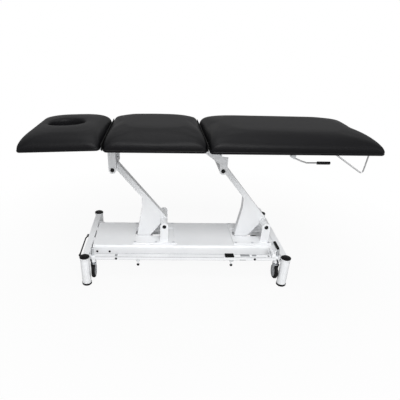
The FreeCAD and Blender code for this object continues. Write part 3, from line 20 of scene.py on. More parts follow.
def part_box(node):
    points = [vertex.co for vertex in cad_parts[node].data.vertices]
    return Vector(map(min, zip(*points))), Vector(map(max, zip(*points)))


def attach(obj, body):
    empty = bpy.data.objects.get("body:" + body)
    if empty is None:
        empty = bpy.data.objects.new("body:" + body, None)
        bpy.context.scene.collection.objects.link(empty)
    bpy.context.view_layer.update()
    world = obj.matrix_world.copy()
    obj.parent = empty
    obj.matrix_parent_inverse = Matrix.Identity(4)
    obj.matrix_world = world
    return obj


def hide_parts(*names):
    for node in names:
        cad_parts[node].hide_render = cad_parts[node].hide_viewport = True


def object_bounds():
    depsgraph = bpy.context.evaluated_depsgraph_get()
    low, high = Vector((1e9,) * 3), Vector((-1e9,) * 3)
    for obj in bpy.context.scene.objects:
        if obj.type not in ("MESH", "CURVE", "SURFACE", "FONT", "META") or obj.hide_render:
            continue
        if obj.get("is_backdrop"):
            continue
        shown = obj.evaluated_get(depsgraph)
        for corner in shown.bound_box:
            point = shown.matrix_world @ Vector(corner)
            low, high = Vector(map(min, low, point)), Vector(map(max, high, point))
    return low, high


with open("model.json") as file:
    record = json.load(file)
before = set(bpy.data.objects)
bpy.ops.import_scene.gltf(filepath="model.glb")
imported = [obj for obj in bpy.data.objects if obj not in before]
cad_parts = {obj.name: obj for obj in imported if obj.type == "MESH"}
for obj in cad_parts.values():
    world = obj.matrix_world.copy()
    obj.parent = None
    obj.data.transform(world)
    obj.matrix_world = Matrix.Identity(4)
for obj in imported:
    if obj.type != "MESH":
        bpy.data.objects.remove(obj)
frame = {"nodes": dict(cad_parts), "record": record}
nodes = frame["nodes"]
cad_low, cad_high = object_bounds()
MM = 0.001
print("CAD box", [round(v, 3) for v in cad_low], [round(v, 3) for v in cad_high])

# %% [markdown]
# ## The camera
# The photograph was taken from the front, a little above the table and about 2.5 m from its
# middle. The figures below were worked out by matching known corners of the table. The
# photograph is a crop, so its optical centre isn't in its middle, and the lens shift makes up
# for that.

# %% Place the camera
PHOTO = 400
FOCAL_PX = 376.56
OPTICAL_CENTRE = (162.67, 245.85)
CAMERA_PLACE = (-0.2339, -2.3341, 1.4340)
PITCH = math.radians(29.85)
YAW = math.radians(0.88)
ROLL = math.radians(0.81)
SENSOR_MM = 36
ahead = Vector((math.sin(YAW) * math.cos(PITCH), math.cos(YAW) * math.cos(PITCH),
                -math.sin(PITCH)))
level = ahead.cross(Vector((0, 0, 1))).normalized()
upright = level.cross(ahead)
right = math.cos(ROLL) * level + math.sin(ROLL) * upright
up = -math.sin(ROLL) * level + math.cos(ROLL) * upright
lens = bpy.data.cameras.new("studio_camera")
lens.sensor_width = SENSOR_MM
lens.lens = FOCAL_PX / PHOTO * lens.sensor_width
lens.shift_x = 0.5 - OPTICAL_CENTRE[0] / PHOTO
lens.shift_y = OPTICAL_CENTRE[1] / PHOTO - 0.5
camera = bpy.data.objects.new("studio_camera", lens)
turn = Matrix((right, up, -ahead)).transposed().to_4x4()
camera.matrix_world = Matrix.Translation(CAMERA_PLACE) @ turn
bpy.context.scene.collection.objects.link(camera)
bpy.context.scene.camera = camera
print("lens", round(lens.lens, 2), "mm, shift", round(lens.shift_x, 3), round(lens.shift_y, 3))

# %% [markdown]
# ## Colours and nodes
# Colours are read off real things as sRGB hex values, but shaders work in linear light, so
# one function converts them. A second one adds a node to a tree, sets its sockets and links
# it, which keeps each material down to a list of its layers.

# %% Colour and node helpers
def linear(code):
    """A hex colour as linear red, green, blue and full alpha."""
    parts = [int(code[i:i + 2], 16) / 255 for i in (1, 3, 5)]
    return tuple(c / 12.92 if c <= 0.04045 else ((c + 0.055) / 1.055) ** 2.4
                 for c in parts) + (1,)


def add(tree, kind, settings=(), **sockets):
    """Adds a node: settings are its own properties, sockets are values or links by name.

    A socket whose name is taken twice is given by its number instead, as _0 or _6."""
    node = tree.nodes.new(kind)
    for name, value in dict(settings).items():
        setattr(node, name, value)
    for name, value in sockets.items():
        key = int(name[1:]) if name[1:].isdigit() else name.replace("_", " ")
        socket = node.inputs[key]
        if isinstance(value, bpy.types.NodeSocket):
            tree.links.new(value, socket)
        else:
            socket.default_value = value
    return node


def new_material(name, **sockets):
    """A new material: its tree, its Principled shader and its Object coordinates."""
    material = bpy.data.materials.new(name)
    material.use_nodes = True
    tree = material.node_tree
    shader = tree.nodes["Principled BSDF"]
    for socket, value in sockets.items():
        shader.inputs[socket.replace("_", " ")].default_value = value
    place = add(tree, "ShaderNodeTexCoord").outputs["Object"]
    print("material", name)
    return material, tree, shader, place


# %% [markdown]
# ## The studio
# A white base on a white ground needs soft light that still shows its forms. The main lamp
# is large and stands high in front, and a weaker one low in front reaches under the cushions
# onto the platform. A weak one overhead and one on each side fill the shadows, and the sky is
# dim and even. The sky is white only where the camera looks at it, so that it never adds
# light to the object.

# %% Sky
SKY_GLOW = 0.40
WHITE = linear("#ffffff")
sky = bpy.data.worlds.new("studio_sky")
bpy.context.scene.world = sky
sky.use_nodes = True
tree = sky.node_tree
tree.nodes.clear()
path = add(tree, "ShaderNodeLightPath")
seen = add(tree, "ShaderNodeMath", {"operation": "MAXIMUM"},
           _0=path.outputs["Is Camera Ray"], _1=path.outputs["Is Transmission Ray"])
glow = add(tree, "ShaderNodeBackground", Color=WHITE, Strength=SKY_GLOW)
white = add(tree, "ShaderNodeBackground", Color=WHITE, Strength=1.0)
mix = add(tree, "ShaderNodeMixShader", _0=seen.outputs[0], _1=glow.outputs[0],
          _2=white.outputs[0])
add(tree, "ShaderNodeOutputWorld", Surface=mix.outputs[0])
print("sky glow", SKY_GLOW)

# %% Lamps
# Each lamp has its place, the point it looks at, the side of its square and its watts.
LAMPS = {
    "high_front_softbox": ((0.1, -2.9, 4.1), (0.0, 0.0, 0.3), 2.2, 152),
    "low_front_softbox": ((0.2, -4.2, 1.7), (0.0, 0.0, 0.6), 1.6, 20),
    "overhead_softbox": ((-0.2, 0.3, 3.4), (0.0, 0.1, 0.5), 2.4, 30),
    "left_fill": ((-3.0, -2.2, 1.8), (0.0, 0.0, 0.5), 1.8, 9),
    "right_fill": ((3.0, -2.0, 1.8), (0.2, 0.0, 0.5), 1.8, 14),
}
for name, (spot, target, size, power) in LAMPS.items():
    lamp = bpy.data.lights.new(name, "AREA")
    lamp.shape = "SQUARE"
    lamp.size = size
    lamp.energy = power
    holder = bpy.data.objects.new(name, lamp)
    holder.location = spot
    holder.rotation_euler = (Vector(target) - Vector(spot)).to_track_quat("-Z", "Y").to_euler()
    bpy.context.scene.collection.objects.link(holder)
print(len(LAMPS), "lamps")

# %% [markdown]
# ## The floor
# The floor is a plain pale sheet that keeps the table's shadow. To the camera alone it also
# glows, a little less right under the table than farther out, so that the ground runs into
# white while the light on the object stays the same.

# %% Floor
HALF_FLOOR = 40
FLOOR_GAP = 0.0005
NEAR_GLOW, FAR_GLOW = 0.93, 1.0
NEAR_EDGE, FAR_EDGE = 0.9, 2.2
corners = [(x * HALF_FLOOR, y * HALF_FLOOR, 0) for x, y in ((-1, -1), (1, -1), (1, 1), (-1, 1))]
floor_mesh = bpy.data.meshes.new("studio_floor")
floor_mesh.from_pydata(corners, [], [(0, 1, 2, 3)])
floor = bpy.data.objects.new("studio_floor", floor_mesh)
bpy.context.scene.collection.objects.link(floor)
floor.location.z = cad_low.z - FLOOR_GAP
material, tree, shader, place = new_material("Matt_white_vinyl_floor", Roughness=0.8,
                                             Base_Color=linear("#bfbfbf"))
path = add(tree, "ShaderNodeLightPath")
lift = add(tree, "ShaderNodeEmission", Color=WHITE, Strength=1.0)
away = add(tree, "ShaderNodeVectorMath", {"operation": "LENGTH"}, _0=place)
clear = add(tree, "ShaderNodeMapRange", Value=away.outputs["Value"], From_Min=NEAR_EDGE,
            From_Max=FAR_EDGE, To_Min=NEAR_GLOW, To_Max=FAR_GLOW)
share = add(tree, "ShaderNodeMath", {"operation": "MULTIPLY"}, _0=path.outputs["Is Camera Ray"],
            _1=clear.outputs["Result"])
mix = add(tree, "ShaderNodeMixShader", _0=share.outputs[0], _1=shader.outputs[0],
          _2=lift.outputs[0])
tree.links.new(mix.outputs[0], tree.nodes["Material Output"].inputs["Surface"])
floor_mesh.materials.append(material)
floor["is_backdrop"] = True

# %% [markdown]
# ## Enamelled steel
# The base, the arms and the frames are welded steel, baked with a white gloss enamel. The
# coat is thick and levels itself, so its gloss is clear but a little uneven, like a fine
# orange peel with ripples about 2.4 mm apart. A weak, broad noise in the colour stands for
# handling and keeps large faces from looking flat.

# %% White enamel
TONES_PER_M = 6.0
PEEL_PER_M = 420.0
material, tree, shader, place = new_material("Baked_gloss_enamel_white", Roughness=0.28)
shader.inputs["Coat Weight"].default_value = 0.5
shader.inputs["Coat Roughness"].default_value = 0.08
wide = add(tree, "ShaderNodeTexNoise", Vector=place, Scale=TONES_PER_M, Detail=3.0,
           Roughness=0.6)
tint = add(tree, "ShaderNodeMix", {"data_type": "RGBA"}, _0=wide.outputs[0],
           _6=linear("#e9ebee"), _7=linear("#f5f6f7"))
tree.links.new(tint.outputs[2], shader.inputs["Base Color"])
peel = add(tree, "ShaderNodeTexNoise", Vector=place, Scale=PEEL_PER_M, Detail=1.0)
bump = add(tree, "ShaderNodeBump", Strength=0.12, Distance=0.0003, Height=peel.outputs[0])
tree.links.new(bump.outputs[0], shader.inputs["Normal"])
ENAMEL = material

# %% [markdown]
# ## Upholstery vinyl
# The covers are PVC-coated fabric, embossed with a fine pebble grain and pulled tight over
# foam. The grain is about 1 mm; it is drawn at 2.5 mm so that it shows in a close view. The
# film is nearly black, and its gloss is broad and weak. A slow noise stands for the slight
# unevenness of the foam beneath.

# %% Black vinyl
GRAIN_PER_M = 400.0
CREASES_PER_M = 9.0
material, tree, shader, place = new_material("PVC_upholstery_vinyl_black", Roughness=0.44)
shader.inputs["Specular IOR Level"].default_value = 0.12
pebbles = add(tree, "ShaderNodeTexVoronoi", {"feature": "SMOOTH_F1"}, Vector=place,
              Scale=GRAIN_PER_M, Smoothness=0.6)
creases = add(tree, "ShaderNodeTexNoise", Vector=place, Scale=CREASES_PER_M, Detail=4.0,
              Roughness=0.55)
low = add(tree, "ShaderNodeBump", Strength=0.35, Distance=0.004, Height=creases.outputs[0])
high = add(tree, "ShaderNodeBump", {"invert": True}, Strength=0.35, Distance=0.0006,
           Height=pebbles.outputs[0], Normal=low.outputs[0])
tree.links.new(high.outputs[0], shader.inputs["Normal"])
shade = add(tree, "ShaderNodeMix", {"data_type": "RGBA"}, _0=creases.outputs[0],
            _6=linear("#0c0c0e"), _7=linear("#111113"))
tree.links.new(shade.outputs[2], shader.inputs["Base Color"])
VINYL = material

# %% [markdown]
# ## Smaller finishes
# Each of the remaining parts gets the finish of what it is: stained plywood under the
# cushions, moulded plastic on the posts, rubber on wheels, feet and grips, chrome on the
# wire parts, zinc plate on the caster struts, black paint on the pivots, and nylon in the
# wheels' hubs and on the near rail. A pattern or two tint the colour of each and, where the
# surface is rough, raise it.

# %% Stained plywood
# The stain leaves the wood dull, and the plies show as faint lines along the edge.
PLIES_PER_M = 14.0
PLY_STRETCH = (1.0, 12.0, 60.0)
material, tree, shader, place = new_material("Stained_plywood_black", Roughness=0.7)
stretch = add(tree, "ShaderNodeMapping", Vector=place, Scale=PLY_STRETCH)
plies = add(tree, "ShaderNodeTexNoise", Vector=stretch.outputs[0], Scale=PLIES_PER_M,
            Detail=4.0)
shade = add(tree, "ShaderNodeMix", {"data_type": "RGBA"}, _0=plies.outputs[0],
            _6=linear("#0c0c0c"), _7=linear("#1a1918"))
tree.links.new(shade.outputs[2], shader.inputs["Base Color"])
bump = add(tree, "ShaderNodeBump", Strength=0.25, Distance=0.0005, Height=plies.outputs[0])
tree.links.new(bump.outputs[0], shader.inputs["Normal"])
PLYWOOD = material

# %% Moulded plastic
# The caps come from a spark-eroded mould, whose grain of about 1.4 mm softens their gloss.
SPECKS_PER_M = 700.0
material, tree, shader, place = new_material("Moulded_polypropylene_black", Roughness=0.4,
                                             Specular_IOR_Level=0.25)
speck = add(tree, "ShaderNodeTexNoise", Vector=place, Scale=SPECKS_PER_M, Detail=2.0)
bump = add(tree, "ShaderNodeBump", Strength=0.15, Distance=0.0002, Height=speck.outputs[0])
tree.links.new(bump.outputs[0], shader.inputs["Normal"])
cloud = add(tree, "ShaderNodeTexNoise", Vector=place, Scale=20.0)
shade = add(tree, "ShaderNodeMix", {"data_type": "RGBA"}, _0=cloud.outputs[0],
            _6=linear("#050506"), _7=linear("#0b0b0c"))
tree.links.new(shade.outputs[2], shader.inputs["Base Color"])
PLASTIC = material

# %% Rubber
# Rubber scatters light widely and holds dust, so it is dull and slightly patchy.
DUST_PER_M = 35.0
material, tree, shader, place = new_material("Moulded_rubber_black", Roughness=0.62,
                                             Specular_IOR_Level=0.2)
dust = add(tree, "ShaderNodeTexNoise", Vector=place, Scale=DUST_PER_M, Detail=5.0,
           Roughness=0.7)
shade = add(tree, "ShaderNodeMix", {"data_type": "RGBA"}, _0=dust.outputs[0],
            _6=linear("#060606"), _7=linear("#0e0e0f"))
tree.links.new(shade.outputs[2], shader.inputs["Base Color"])
bump = add(tree, "ShaderNodeBump", Strength=0.3, Distance=0.0004, Height=dust.outputs[0])
tree.links.new(bump.outputs[0], shader.inputs["Normal"])
RUBBER = material

# %% Chrome
# Polished plate mirrors the studio sharply, and polishing marks vary that by a trace.
POLISH_PER_M = 60.0
material, tree, shader, place = new_material("Bright_chrome_plate", Metallic=1.0, Roughness=0.1)
polish = add(tree, "ShaderNodeTexNoise", Vector=place, Scale=POLISH_PER_M, Detail=3.0)
shade = add(tree, "ShaderNodeMix", {"data_type": "RGBA"}, _0=polish.outputs[0],
            _6=linear("#c9cacc"), _7=linear("#dcdcdd"))
tree.links.new(shade.outputs[2], shader.inputs["Base Color"])
haze = add(tree, "ShaderNodeMapRange", Value=polish.outputs[0], To_Min=0.07, To_Max=0.16)
tree.links.new(haze.outputs[0], shader.inputs["Roughness"])
CHROME = material

# %% Zinc plate
# Zinc plate is a pale, satin metal, with a crystal pattern about 6 mm across.
SPANGLES_PER_M = 160.0
material, tree, shader, place = new_material("Zinc_plated_steel", Metallic=1.0, Roughness=0.5)
spangle = add(tree, "ShaderNodeTexVoronoi", Vector=place, Scale=SPANGLES_PER_M)
shade = add(tree, "ShaderNodeMix", {"data_type": "RGBA"}, _0=spangle.outputs["Distance"],
            _6=linear("#e4e6e8"), _7=linear("#cfd2d5"))
tree.links.new(shade.outputs[2], shader.inputs["Base Color"])
ZINC = material

# %% Black paint
# Sprayed paint dries with a faint ripple, drawn 2 mm wide, which spreads its satin gloss.
SPRAY_PER_M = 500.0
material, tree, shader, place = new_material("Satin_paint_black", Roughness=0.4,
                                             Specular_IOR_Level=0.25)
spray = add(tree, "ShaderNodeTexNoise", Vector=place, Scale=SPRAY_PER_M, Detail=1.0)
bump = add(tree, "ShaderNodeBump", Strength=0.15, Distance=0.0002, Height=spray.outputs[0])
tree.links.new(bump.outputs[0], shader.inputs["Normal"])
cloud = add(tree, "ShaderNodeTexNoise", Vector=place, Scale=15.0)
shade = add(tree, "ShaderNodeMix", {"data_type": "RGBA"}, _0=cloud.outputs[0],
            _6=linear("#050506"), _7=linear("#0b0b0c"))
tree.links.new(shade.outputs[2], shader.inputs["Base Color"])
BLACK_PAINT = material

# %% Grey nylon
# Nylon is moulded through in grey, so it shows no edge of another colour where it wears.
FLECKS_PER_M = 90.0
material, tree, shader, place = new_material("Moulded_nylon_grey", Roughness=0.5)
fleck = add(tree, "ShaderNodeTexNoise", Vector=place, Scale=FLECKS_PER_M, Detail=3.0)
shade = add(tree, "ShaderNodeMix", {"data_type": "RGBA"}, _0=fleck.outputs[0],
            _6=linear("#8b8d90"), _7=linear("#a2a4a7"))
tree.links.new(shade.outputs[2], shader.inputs["Base Color"])
bump = add(tree, "ShaderNodeBump", Strength=0.2, Distance=0.0002, Height=fleck.outputs[0])
tree.links.new(bump.outputs[0], shader.inputs["Normal"])
NYLON = material

# %% Dipped levers
# The toe levers are enamelled rods whose ball end is dipped in black plastic up to a height
# above the floor. The edge of the dip wavers by less than a millimetre.
DIP_HEIGHT = 0.1415
DIP_WAVER = 0.0008
material, tree, shader, place = new_material("Enamelled_rod_dipped_black", Roughness=0.35)
split = add(tree, "ShaderNodeSeparateXYZ", Vector=place)
wobble = add(tree, "ShaderNodeTexNoise", Vector=place, Scale=300.0)
edge = add(tree, "ShaderNodeMath", {"operation": "MULTIPLY_ADD"}, _0=wobble.outputs[0],
           _1=DIP_WAVER, _2=DIP_HEIGHT)
dipped = add(tree, "ShaderNodeMath", {"operation": "LESS_THAN"}, _0=split.outputs["Z"],
             _1=edge.outputs[0])
shade = add(tree, "ShaderNodeMix", {"data_type": "RGBA"}, _0=dipped.outputs[0],
            _6=linear("#eceef0"), _7=linear("#060606"))
tree.links.new(shade.outputs[2], shader.inputs["Base Color"])
DIPPED = material

# %% Dress the CAD nodes
FINISHES = {
    "white_enamel": ENAMEL, "black_vinyl": VINYL, "black_board": PLYWOOD,
    "black_cap_plastic": PLASTIC, "bright_chrome": CHROME, "zinc_steel": ZINC,
    "black_steel": BLACK_PAINT, "caster_tyre": RUBBER, "grip_rubber": RUBBER,
    "actuator_grey": BLACK_PAINT,
}
for part in frame["record"]["subparts"]:
    mesh = nodes[part["node"]].data
    mesh.materials.clear()
    mesh.materials.append(FINISHES[part["material_slot"]])
for side in ("left", "right"):
    nodes["toe_lever_" + side].data.materials[0] = DIPPED
print("dressed", len(nodes), "nodes")

# %% [markdown]
# ## The cushions
# Each section carries a block of firm foam with a vinyl cover stretched over it and stapled
# under its board. The sides stand up from a tight hem, roll over softly at the top and the
# middle is gently crowned. They could be modelled by hand, but a cloth finds its own tight
# curve. So a blank of nearly the cushion's size is stacked from outlines, turned into an even
# skin of small squares, and blown up as cloth with its hem held. How far a point may move is
# capped, as foam would do.

# %% Cushion sizes
BOARD_TOP = 0.868
HALF_WIDTH = 0.343
HEAD_END = -0.998
LEG_END = 0.997
SECTIONS = {"head": (HEAD_END, -0.545), "middle": (-0.533, 0.031), "leg": (0.043, LEG_END)}
BODY_OF = {"head": "head_section", "middle": "top", "leg": "leg_section"}
FACE_HOLE = {"centre": -0.779, "length": 0.205, "width": 0.172}
HEAD_HINGE = Vector((-0.548, 0, 0.840))
HEAD_DROOP = math.radians(2)
HEM_INSET = 0.003
ROLL_START = 0.0094
ROLL_TOP = 0.0825
CROWN = 0.087
CROWN_REACH = 0.080
HEM_CORNER = 0.021
TOP_CORNER = 0.125
SWELL = 0.006
SHRINK = 0.0005
# How far each kind of side rolls in on its way up, and how straight its slope is.
LONG_SIDE = (0.114, 1.02)
GAP_SIDE = (0.055, 0.87)
HEAD_END_SIDE = (0.082, 1.01)
LEG_END_SIDE = (0.083, 0.64)
ENDS = {"head": (HEAD_END_SIDE, GAP_SIDE), "middle": (GAP_SIDE, GAP_SIDE),
        "leg": (GAP_SIDE, LEG_END_SIDE)}
LEG_TAPER = 0.11
PRESSURE = {"head": 4.0, "middle": 1.6, "leg": 0.9}
FULLNESS = {"head": 1.04, "middle": 1.05, "leg": 1.02}
for section, (left, right_end) in SECTIONS.items():
    print(section, "cushion", round((right_end - left) / MM), "mm long")

# %% Outline of one level
def outline(left, right_end, half, corner, level, arc_steps=8):
    """Points of a rectangle with round corners, turning left as seen from above."""
    points = []
    centres = ((right_end - corner, -half + corner, -90), (right_end - corner, half - corner, 0),
               (left + corner, half - corner, 90), (left + corner, -half + corner, 180))
    for cx, cy, start in centres:
        for i in range(arc_steps + 1):
            angle = math.radians(start + 90 * i / arc_steps)
            points.append((cx + corner * math.cos(angle), cy + corner * math.sin(angle), level))
    return points


# %% Levels of the foam blank
ROLL_STEPS = 9
CROWN_SHARE = 0.75
ROLL_ANGLES = [math.radians(90 * i / ROLL_STEPS) for i in range(ROLL_STEPS + 1)]
LEVELS = [0.0] + [ROLL_START + (ROLL_TOP - ROLL_START) * math.sin(angle) for angle in ROLL_ANGLES]
LEVELS += [ROLL_TOP + (CROWN - ROLL_TOP) * CROWN_SHARE, CROWN]


def side_insets(side):
    """How far one side is drawn in at each level of the blank."""
    reach, straight = side
    insets = [HEM_INSET] + [reach * (1 - math.cos(angle)) ** straight for angle in ROLL_ANGLES]
    return insets + [reach + CROWN_REACH / 2, reach + CROWN_REACH]


print(len(LEVELS), "levels")

# %% Edit meshes and objects
def stack_rings(bm, rings):
    """Closes a stack of equal rings of points into one solid."""
    loops = [[bm.verts.new(p) for p in ring] for ring in rings]
    for low_loop, high_loop in zip(loops, loops[1:]):
        for i in range(len(low_loop)):
            j = (i + 1) % len(low_loop)
            bm.faces.new((low_loop[i], low_loop[j], high_loop[j], high_loop[i]))
    bm.faces.new(loops[-1])
    bm.faces.new(list(reversed(loops[0])))


def as_object(bm, name):
    """Turns an edit mesh into an object of the scene."""
    bmesh.ops.recalc_face_normals(bm, faces=bm.faces)
    mesh = bpy.data.meshes.new(name)
    bm.to_mesh(mesh)
    bm.free()
    made = bpy.data.objects.new(name, mesh)
    bpy.context.scene.collection.objects.link(made)
    return made


# %% The foam blank
FULLEST_CORNER = 0.45


def foam_blank(section):
    """The block that a section's cushion is blown up from, drawn in a trace at its roll."""
    left, right_end = SECTIONS[section]
    taper = LEG_TAPER if section == "leg" else 0.0
    rings = []
    levels = zip(LEVELS, side_insets(LONG_SIDE), *[side_insets(side) for side in ENDS[section]])
    for height, long_inset, left_inset, right_inset in levels:
        share = min(1.0, height / ROLL_TOP)
        shrink = SHRINK * min(1.0, 4 * share) * math.sqrt(1 - share * share)
        low, high = left + left_inset + shrink, right_end - right_inset - shrink
        corner = HEM_CORNER + (TOP_CORNER - HEM_CORNER) * share ** 2
        corner = min(corner, FULLEST_CORNER * (high - low))
        ring = outline(low, high, HALF_WIDTH - long_inset - shrink, corner, 0.0)
        rings.append([(x, y, BOARD_TOP + (height * FULLNESS[section] - SHRINK * share ** 2)
                       * (1 - taper * (x - left) / (right_end - left))) for x, y, _ in ring])
    bm = bmesh.new()
    stack_rings(bm, rings)
    return as_object(bm, section + "_blank")


# %% The face opening
HOLE_STEPS = 64
CUTTER_BELOW, CUTTER_ABOVE = 0.05, 0.12


def cut_face_opening(blank):
    """Cuts the oval opening of the head section out of its blank."""
    bm = bmesh.new()
    rings = []
    for level in (BOARD_TOP - CUTTER_BELOW, BOARD_TOP + CUTTER_ABOVE):
        rings.append([(FACE_HOLE["centre"] + (FACE_HOLE["length"] / 2 + SWELL) * math.cos(angle),
                       (FACE_HOLE["width"] / 2 + SWELL) * math.sin(angle), level)
                      for angle in (2 * math.pi * i / HOLE_STEPS for i in range(HOLE_STEPS))])
    stack_rings(bm, rings)
    cutter = as_object(bm, "opening_cutter")
    cut = blank.modifiers.new("opening", "BOOLEAN")
    cut.operation = "DIFFERENCE"
    cut.object = cutter
    return cutter


# %% Applied copies
def applied(thing, name):
    """A plain mesh of an object as it looks with its modifiers."""
    shown = thing.evaluated_get(bpy.context.evaluated_depsgraph_get())
    mesh = bpy.data.meshes.new_from_object(shown)
    mesh.name = name
    return mesh


# %% Smoothing
HEM_FIXED = 0.004


def settle(mesh, passes):
    """Evens out the skin above the hem."""
    bm = bmesh.new()
    bm.from_mesh(mesh)
    upper = [v for v in bm.verts if v.co.z > BOARD_TOP + HEM_FIXED]
    for _ in range(passes):
        bmesh.ops.smooth_vert(bm, verts=upper, factor=0.5,
                              use_axis_x=True, use_axis_y=True, use_axis_z=True)
    bm.to_mesh(mesh)
    bm.free()


def positions(mesh):
    """The places of a mesh's points as an array of rows."""
    flat = np.empty(len(mesh.vertices) * 3, np.float32)
    mesh.vertices.foreach_get("co", flat)
    return flat.reshape(-1, 3)


def cap_movement(blown, start, passes=24):
    """Spreads each point's movement over its neighbours, then caps it: no wrinkle is left."""
    moved = positions(blown) - start
    farthest = float(np.linalg.norm(moved, axis=1).max())
    ends = np.empty(len(blown.edges) * 2, np.int32)
    blown.edges.foreach_get("vertices", ends)
    one, other = ends[0::2], ends[1::2]
    count = np.bincount(ends, minlength=len(moved))[:, None]
    for _ in range(passes):
        total = np.stack([np.bincount(one, moved[other, k], len(moved))
                          + np.bincount(other, moved[one, k], len(moved)) for k in range(3)], 1)
        moved = 0.5 * moved + 0.5 * total / count
    reach = np.linalg.norm(moved, axis=1, keepdims=True)
    moved *= np.minimum(1.0, SWELL / np.maximum(reach, 1e-9))
    blown.vertices.foreach_set("co", (start + moved).astype(np.float32).ravel())
    return farthest


# %% Skin and pressure
VOXEL = 0.008
HEM_HELD = 0.008
FRAMES = 20
SETTLE_BEFORE, SETTLE_AFTER = 6, 3
COVER_CLOTH = {"quality": 4, "mass": 0.4, "tension_stiffness": 30, "compression_stiffness": 30,
               "shear_stiffness": 15, "bending_stiffness": 8, "use_pressure": True}


def inflate(cover, pressure):
    """Runs the cover as cloth under pressure, with its hem held, and caps its movement."""
    start = positions(cover.data)
    hem = cover.vertex_groups.new(name="hem")
    held = [v.index for v in cover.data.vertices if v.co.z < BOARD_TOP + HEM_HELD]
    hem.add(held, 1.0, "REPLACE")
    cloth = cover.modifiers.new("cloth", "CLOTH")
    for name, value in COVER_CLOTH.items():
        setattr(cloth.settings, name, value)
    cloth.settings.uniform_pressure_force = pressure
    cloth.settings.vertex_group_mass = "hem"
    cloth.settings.effector_weights.gravity = 0
    cloth.collision_settings.use_collision = False
    cloth.point_cache.frame_start = 1
    cloth.point_cache.frame_end = FRAMES
    for i in range(1, FRAMES + 1):
        bpy.context.scene.frame_set(i)
    blown = applied(cover, cover.name)
    cover.modifiers.remove(cloth)
    farthest = cap_movement(blown, start)
    cover.data = blown
    settle(blown, SETTLE_AFTER)
    print(cover.name, "swelled", round(farthest / MM, 1), "mm before the cap")
    bpy.context.scene.frame_set(1)


def blow_up(blank, name, pressure):
    """Turns the blank into a cover: an even skin of small squares, then inflated."""
    skin = blank.modifiers.new("skin", "REMESH")
    skin.mode = "VOXEL"
    skin.voxel_size = VOXEL
    mesh = applied(blank, name)
    settle(mesh, SETTLE_BEFORE)
    cover = bpy.data.objects.new(name, mesh)
    bpy.context.scene.collection.objects.link(cover)
    bpy.data.objects.remove(blank)
    inflate(cover, pressure)
    return cover


# %% The rim of the face opening
RIM_OUT = 0.003
RIM_PROUD = 0.01
LOOK_FROM = 1.2


def opening_rim(skin_tree):
    """Points on the cover around the face opening, found by looking straight down on it."""
    points = []
    for i in range(HOLE_STEPS):
        angle = 2 * math.pi * i / HOLE_STEPS
        x = FACE_HOLE["centre"] + (FACE_HOLE["length"] / 2 + RIM_OUT) * math.cos(angle)
        y = (FACE_HOLE["width"] / 2 + RIM_OUT) * math.sin(angle)
        hit = skin_tree.ray_cast(Vector((x, y, LOOK_FROM)), Vector((0, 0, -1)))[0]
        z = min(hit.z, BOARD_TOP + CROWN + RIM_PROUD) if hit else BOARD_TOP
        points.append(Vector((x, y, z)))
    return points


# %% Upholster the three sections
DROOP = (Matrix.Translation(HEAD_HINGE) @ Matrix.Rotation(-HEAD_DROOP, 4, "Y")
         @ Matrix.Translation(-HEAD_HINGE))
COVERS = {}
for section in SECTIONS:
    began = time.time()
    blank = foam_blank(section)
    cutter = cut_face_opening(blank) if section == "head" else None
    cover = blow_up(blank, section + "_upholstery", PRESSURE[section])
    if cutter:
        bpy.data.objects.remove(cutter)
    finer = cover.modifiers.new("finer", "SUBSURF")
    finer.levels = finer.render_levels = 1
    mesh = applied(cover, section + "_upholstery")
    cover.modifiers.clear()
    cover.vertex_groups.clear()
    cover.data = mesh
    if section == "head":
        skin_tree = BVHTree.FromPolygons([v.co for v in mesh.vertices],
                                         [p.vertices for p in mesh.polygons])
        rim_points = opening_rim(skin_tree)
        mesh.transform(DROOP)
    mesh.materials.clear()
    mesh.materials.append(VINYL)
    mesh.polygons.foreach_set("use_smooth", [True] * len(mesh.polygons))
    COVERS[section] = cover
    print(section, len(mesh.polygons), "faces in", round(time.time() - began, 1), "s")

# %% Put the covers on the sections
for section, cover in COVERS.items():
    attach(cover, BODY_OF[section])
    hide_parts(section + "_cushion")

# %% [markdown]
# ## Tubes that follow a path
# The rolled hem, the welt round the face opening and thin edgings all follow a line, which is
# what Geometry Nodes do best. The tree takes a mesh of points joined by edges, turns it into
# a curve and sweeps a circle along it. Its radius and material are named inputs, and the
# result is read back as a plain mesh, so that no modifier is left on the piece.

# %% Tube tree
TUBE_SIDES = 12
TUBE_SOCKETS = {"Radius": "NodeSocketFloat", "Material": "NodeSocketMaterial"}
tube = bpy.data.node_groups.new("tube_along_path", "GeometryNodeTree")
tube.interface.new_socket("Path", in_out="INPUT", socket_type="NodeSocketGeometry")
TUBE_INPUTS = {name: tube.interface.new_socket(name, in_out="INPUT", socket_type=kind).identifier
               for name, kind in TUBE_SOCKETS.items()}
tube.interface.new_socket("Tube", in_out="OUTPUT", socket_type="NodeSocketGeometry")
given = add(tube, "NodeGroupInput")
line = add(tube, "GeometryNodeMeshToCurve", Mesh=given.outputs["Path"])
circle = add(tube, "GeometryNodeCurvePrimitiveCircle", Resolution=TUBE_SIDES,
             Radius=given.outputs["Radius"])
swept = add(tube, "GeometryNodeCurveToMesh", Curve=line.outputs[0],
            Profile_Curve=circle.outputs[0], Fill_Caps=True)
solid = add(tube, "GeometryNodeRealizeInstances", Geometry=swept.outputs[0])
painted = add(tube, "GeometryNodeSetMaterial", Geometry=solid.outputs[0],
              Material=given.outputs["Material"])
add(tube, "NodeGroupOutput", Tube=painted.outputs[0])
print(tube.name, "has", len(tube.nodes), "nodes")


